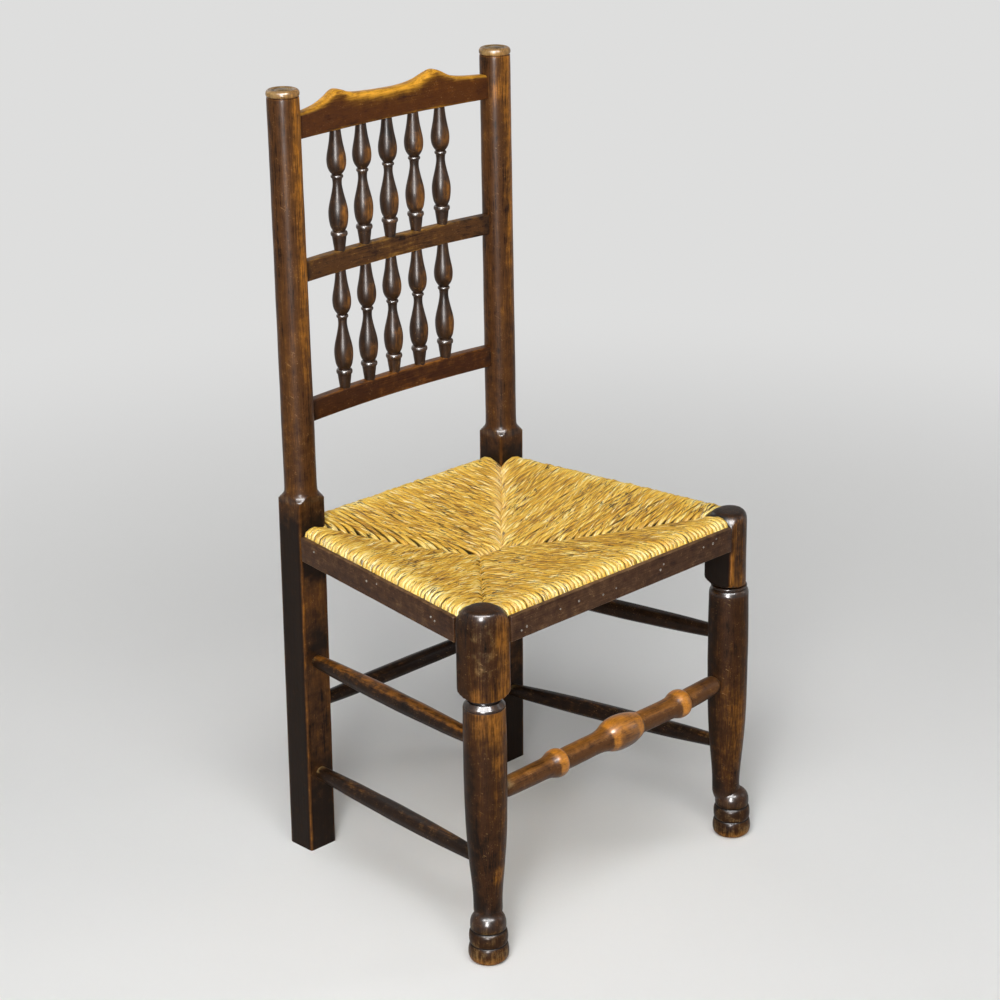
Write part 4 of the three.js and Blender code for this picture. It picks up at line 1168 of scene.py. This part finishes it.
# %% Measure the seat
CROWN, MIDDLE, BASE, UNDER = 436.0, 412.0, 400.0, 390.5
INSET = 20.0  # from the outer face of the strips to the crown of the rush
RIDGE_LEFT, RIDGE_RIGHT = Vector((-50.0, -7.0)), Vector((-16.0, -7.0))
CORNERS = {
    "front_left": Vector((-186.5, -152.3)), "front_right": Vector((186.5, -152.3)),
    "rear_left": Vector((-148.4, 157.8)), "rear_right": Vector((148.4, 157.8)),
}
CORD = 3.35  # mean radius of a cord
THICKNESS, TWIST = (0.9, 1.03), (62, 90)  # from cord to cord: share of that radius, mm for one turn
CORNER_GAP = 2.2  # from a field's last cord to the corner


def seam_at(place, axis, outer, ridge):
    """Where the seam from a corner to the ridge stands, across, at a place on axis 0 (x) or 1 (y)."""
    share = (place - outer[axis]) / (ridge[axis] - outer[axis])
    return outer[1 - axis] + share * (ridge[1 - axis] - outer[1 - axis])


def field_runs():
    """Each run: field, point on the crown, way inwards, length to the seam and to the ridge."""
    runs = []
    for field, crown_y, count, inwards in (
        ("front", FRONT_FACE + INSET, 58, Vector((0, 1, 0))),
        ("rear", REAR_FACE - INSET, 46, Vector((0, -1, 0))),
    ):
        left, right = CORNERS[field + "_left"], CORNERS[field + "_right"]
        reach = abs(left.x) - CORNER_GAP
        for k in range(count):
            x = -reach + 2 * reach * k / (count - 1)
            end_y = RIDGE_LEFT.y
            if x < RIDGE_LEFT.x:
                end_y = seam_at(x, 0, left, RIDGE_LEFT)
            if x > RIDGE_RIGHT.x:
                end_y = seam_at(x, 0, right, RIDGE_RIGHT)
            length, whole = abs(end_y - crown_y), abs(RIDGE_LEFT.y - crown_y)
            runs.append((field, Vector((x, crown_y, 0)), inwards, length, whole))
    for field, sign, ridge in (("left", -1, RIDGE_LEFT), ("right", 1, RIDGE_RIGHT)):
        front, rear = CORNERS["front_" + field], CORNERS["rear_" + field]
        low, high = front.y + CORNER_GAP, rear.y - CORNER_GAP
        count = 48
        for k in range(count):
            y = low + (high - low) * k / (count - 1)
            x = sign * (side_face(y) - INSET)
            length = abs(seam_at(y, 1, front if y < ridge.y else rear, ridge) - x)
            runs.append((field, Vector((x, y, 0)), Vector((-sign, 0, 0)), length, abs(ridge.x - x)))
    return runs


runs = field_runs()
print("runs of cord:", len(runs))


# %% Lead a cord round the rail
WRAP = [  # (inwards, down from the top) of a cord's middle, round the rail
    (1.0, 0.6), (-5.5, -0.1), (-10.6, -2.7), (-12.2, -7.2), (-11.0, -12.5), (-10.4, -18), (-10.2, -24),
    (-8.6, -28), (-4, -30.2), (2, -30.5),
]


def top_height(inward, whole, to_seam, proud):
    """Height of the rush's top face: a dish, a little pillowed, that drops into the seam."""
    share = max(0.0, 1 - inward / whole)
    dish = MIDDLE + (CROWN - MIDDLE) * share**1.5
    pillow = 2.6 * (1 - exp(-max(to_seam, 0) / 16)) * rise(share, -0.1, 0.35) - 1.2
    dive = 6.5 * (1 - min(max(to_seam, 0) / 11, 1)) ** 1.7 + max(0, -to_seam) * 1.1
    return dish + pillow * fall(share, 0.9, 1.0) - dive * (1 - 0.5 * proud)


def cord_path(length, whole, proud):
    """Points of (inward, height) of a cord's middle, from the seam below to the seam above."""
    below = [length + 2, length - 3]
    spacing = max(2, round((length - 8) / 30))
    below += [length - 3 - (length - 10) * k / spacing for k in range(1, spacing)]
    path = []
    for inward in (b for b in below if b > 5):
        share = max(0.0, 1 - inward / whole)
        lift = 4 * (1 - min(max(length - inward, 0) / 8, 1))
        path.append((inward, UNDER + (BASE - UNDER) * share + CORD + lift))
    path += [(inward, CROWN - CORD + drop) for inward, drop in reversed(WRAP)]
    seam = [9.0, 5.5, 2.5, -0.5, -4.0]
    far = length - 15
    count = max(1, round((far - 6) / 8))
    top = [6 + (far - 6) * k / count for k in range(count + 1)] if far > 8 else []
    top += [length - d for d in seam if length - d > 3]
    return path + [(inward, top_height(inward, whole, length - inward, proud) - CORD) for inward in top]


print("points on the path of a long cord:", len(cord_path(170, 170, 0)))

# %% Bend a cord
def add_run(bm_all, run, number):
    field, crown, inwards, length, whole = run
    rng = random.Random(number * 7 + 3)
    proud = 0.0  # 1 where the field's cords lie over its neighbour's at the seam
    if crown.x < RIDGE_LEFT.x and crown.y > RIDGE_LEFT.y:
        proud = 1.0 if field == "rear" else 0.15
    if crown.x > RIDGE_RIGHT.x and crown.y < RIDGE_RIGHT.y:
        proud = 0.4 if field == "right" else 0.25
    path = cord_path(length, whole, proud)
    sideways = Vector((-inwards.y, inwards.x, 0))
    swerve = {"rear": -5.5, "right": 5.0}.get(field, 0) * proud  # how far its end bends along the seam
    radius = CORD * rng.uniform(*THICKNESS)
    phase, pitch = rng.uniform(0, tau), rng.uniform(*TWIST)
    shade, shift = rng.random(), rng.uniform(0, 5)
    points, travelled = [], [0.0]
    for inward, height in path:
        drift = 1.8 * noise_at(number * 3.7, inward / 30, 0.5)
        if height > BASE:
            drift += swerve * (1 - min(max(length - inward, 0) / 55, 1)) ** 1.6
        lift = 1.3 * noise_at(number * 5.1, inward / 24, 7.5)
        points.append(crown + inwards * inward + sideways * drift + Vector((0, 0, height + lift)))
    for a, b in zip(points, points[1:]):
        travelled.append(travelled[-1] + (b - a).length)
    bm = bmesh.new()
    rings, columns = len(points) - 1, 8
    bmesh.ops.create_grid(bm, x_segments=rings, y_segments=columns, size=0.5)
    strand = bm.verts.layers.float_vector.new("strand")
    floats = bm.verts.layers.float
    cord_shade, rim, gap_shade = (floats.new(title) for title in ("cord_shade", "rim", "gap_shade"))
    for v in bm.verts:
        ring = round((v.co.x + 0.5) * rings)
        inward, far = path[ring][0], travelled[ring]
        around = -pi / 2 + tau * (v.co.y + 0.5)
        tangent = (points[min(ring + 1, rings)] - points[max(ring - 1, 0)]).normalized()
        inner_side = sideways.cross(tangent)
        if inner_side.length <= 0.5:
            inner_side = Vector((0, 0, -1))
        turned = around - (phase + tau * far / pitch)
        inner = rise(inward, -4, 20)
        size = radius * (0.95 + 0.05 * inner) * (1 + (0.05 + 0.09 * inner) * cos(2 * turned))
        size *= 1 + (0.07 + 0.09 * inner) * noise_at(number, far / 16, 3)
        size *= 1 + 0.13 * proud**0.5 * fall(length - inward, 6, 30)
        v.co = (points[ring] + sideways * size * cos(around) + inner_side * size * sin(around)) * MM
        pulled = (far + shift * 400, radius * cos(turned) + shift * 9, radius * sin(turned))
        v[strand] = Vector(pulled) * MM
        v[cord_shade] = shade
        # painted shade: none on the cord's outer face, full on its sides and on the face turned in
        v[gap_shade] = rise(1 + sin(around), 0.3, 1.0)
        v[rim] = max(fall(inward, -2, 24), (0.5 + 0.7 * proud) * fall(length - inward, 4, 26))
    bmesh.ops.remove_doubles(bm, verts=bm.verts, dist=1e-6)
    bmesh.ops.holes_fill(bm, edges=bm.edges[:], sides=0)
    bmesh.ops.recalc_face_normals(bm, faces=bm.faces)
    mesh = bpy.data.meshes.new("run")
    bm.to_mesh(mesh)
    bm.free()
    bm_all.from_mesh(mesh)
    bpy.data.meshes.remove(mesh)


print("a cord is about", 2 * CORD, "mm thick")

# %% Weave the seat
weave = bmesh.new()
for number, run in enumerate(runs):
    add_run(weave, run, number)
finish_piece(weave, "rush_weave", rush, "rush_seat", "rush", crisp=80)

# %% [markdown]
# ## Stuffing
# Under the cords lies stuffing: broken rush pushed between the two layers, which keeps the seat full.
# It only shows as a dark glimpse between cords, so a plain closed pad a few millimetres below them is
# enough. It starts as a grid that is fitted between the rails and thickened.

# %% Stuff the seat
STUFFING_SHADES = [(0.2, "3c280c"), (0.6, "7a5820"), (0.9, "9c7830")]
stuffing_rush = rush_material("stuffing rush", STUFFING_SHADES, -0.1)
pad = bmesh.new()
bmesh.ops.create_grid(pad, x_segments=40, y_segments=32, size=0.5)
for v in pad.verts:
    across, down = v.co.x + 0.5, v.co.y + 0.5
    front = CORNERS["front_left"].lerp(CORNERS["front_right"], across)
    rear = CORNERS["rear_left"].lerp(CORNERS["rear_right"], across)
    spot = front.lerp(rear, down)
    inside = min(across, 1 - across, down, 1 - down) * 2
    dish = MIDDLE + (CROWN - MIDDLE) * (1 - inside) ** 1.5 * 0.75
    v.co = Vector((spot.x, spot.y, dish - 11)) * MM
grown = bmesh.ops.extrude_face_region(pad, geom=pad.faces[:] + pad.edges[:] + pad.verts[:])
for corner in (part for part in grown["geom"] if isinstance(part, bmesh.types.BMVert)):
    corner.co.z = (BASE - 1) * MM
finish_piece(pad, "rush_stuffing", stuffing_rush, slot="rush")

# %% [markdown]
# ## Hidden rails
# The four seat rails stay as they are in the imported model, because only their ends could ever be
# glimpsed. They only get the finish of bare sawn wood.

# %% Finish the hidden rails
for word in ("front", "rear", "left", "right"):
    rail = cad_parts[f"seat_rail_{word}"]
    rail.data.materials.clear()
    rail.data.materials.append(bare_wood)
print("bare:", rail.name, "and its three fellows")

# %% [markdown]
# ## How far the box has grown
# The dressed chair must keep the imported model's box, so its growth along each axis is printed.

# %% Print how much the box has grown
low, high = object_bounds()
sides = zip(low, high, cad_low, cad_high)
print("grown in mm:", [round(((h - l) - (ch - cl)) / MM, 2) for l, h, cl, ch in sides])
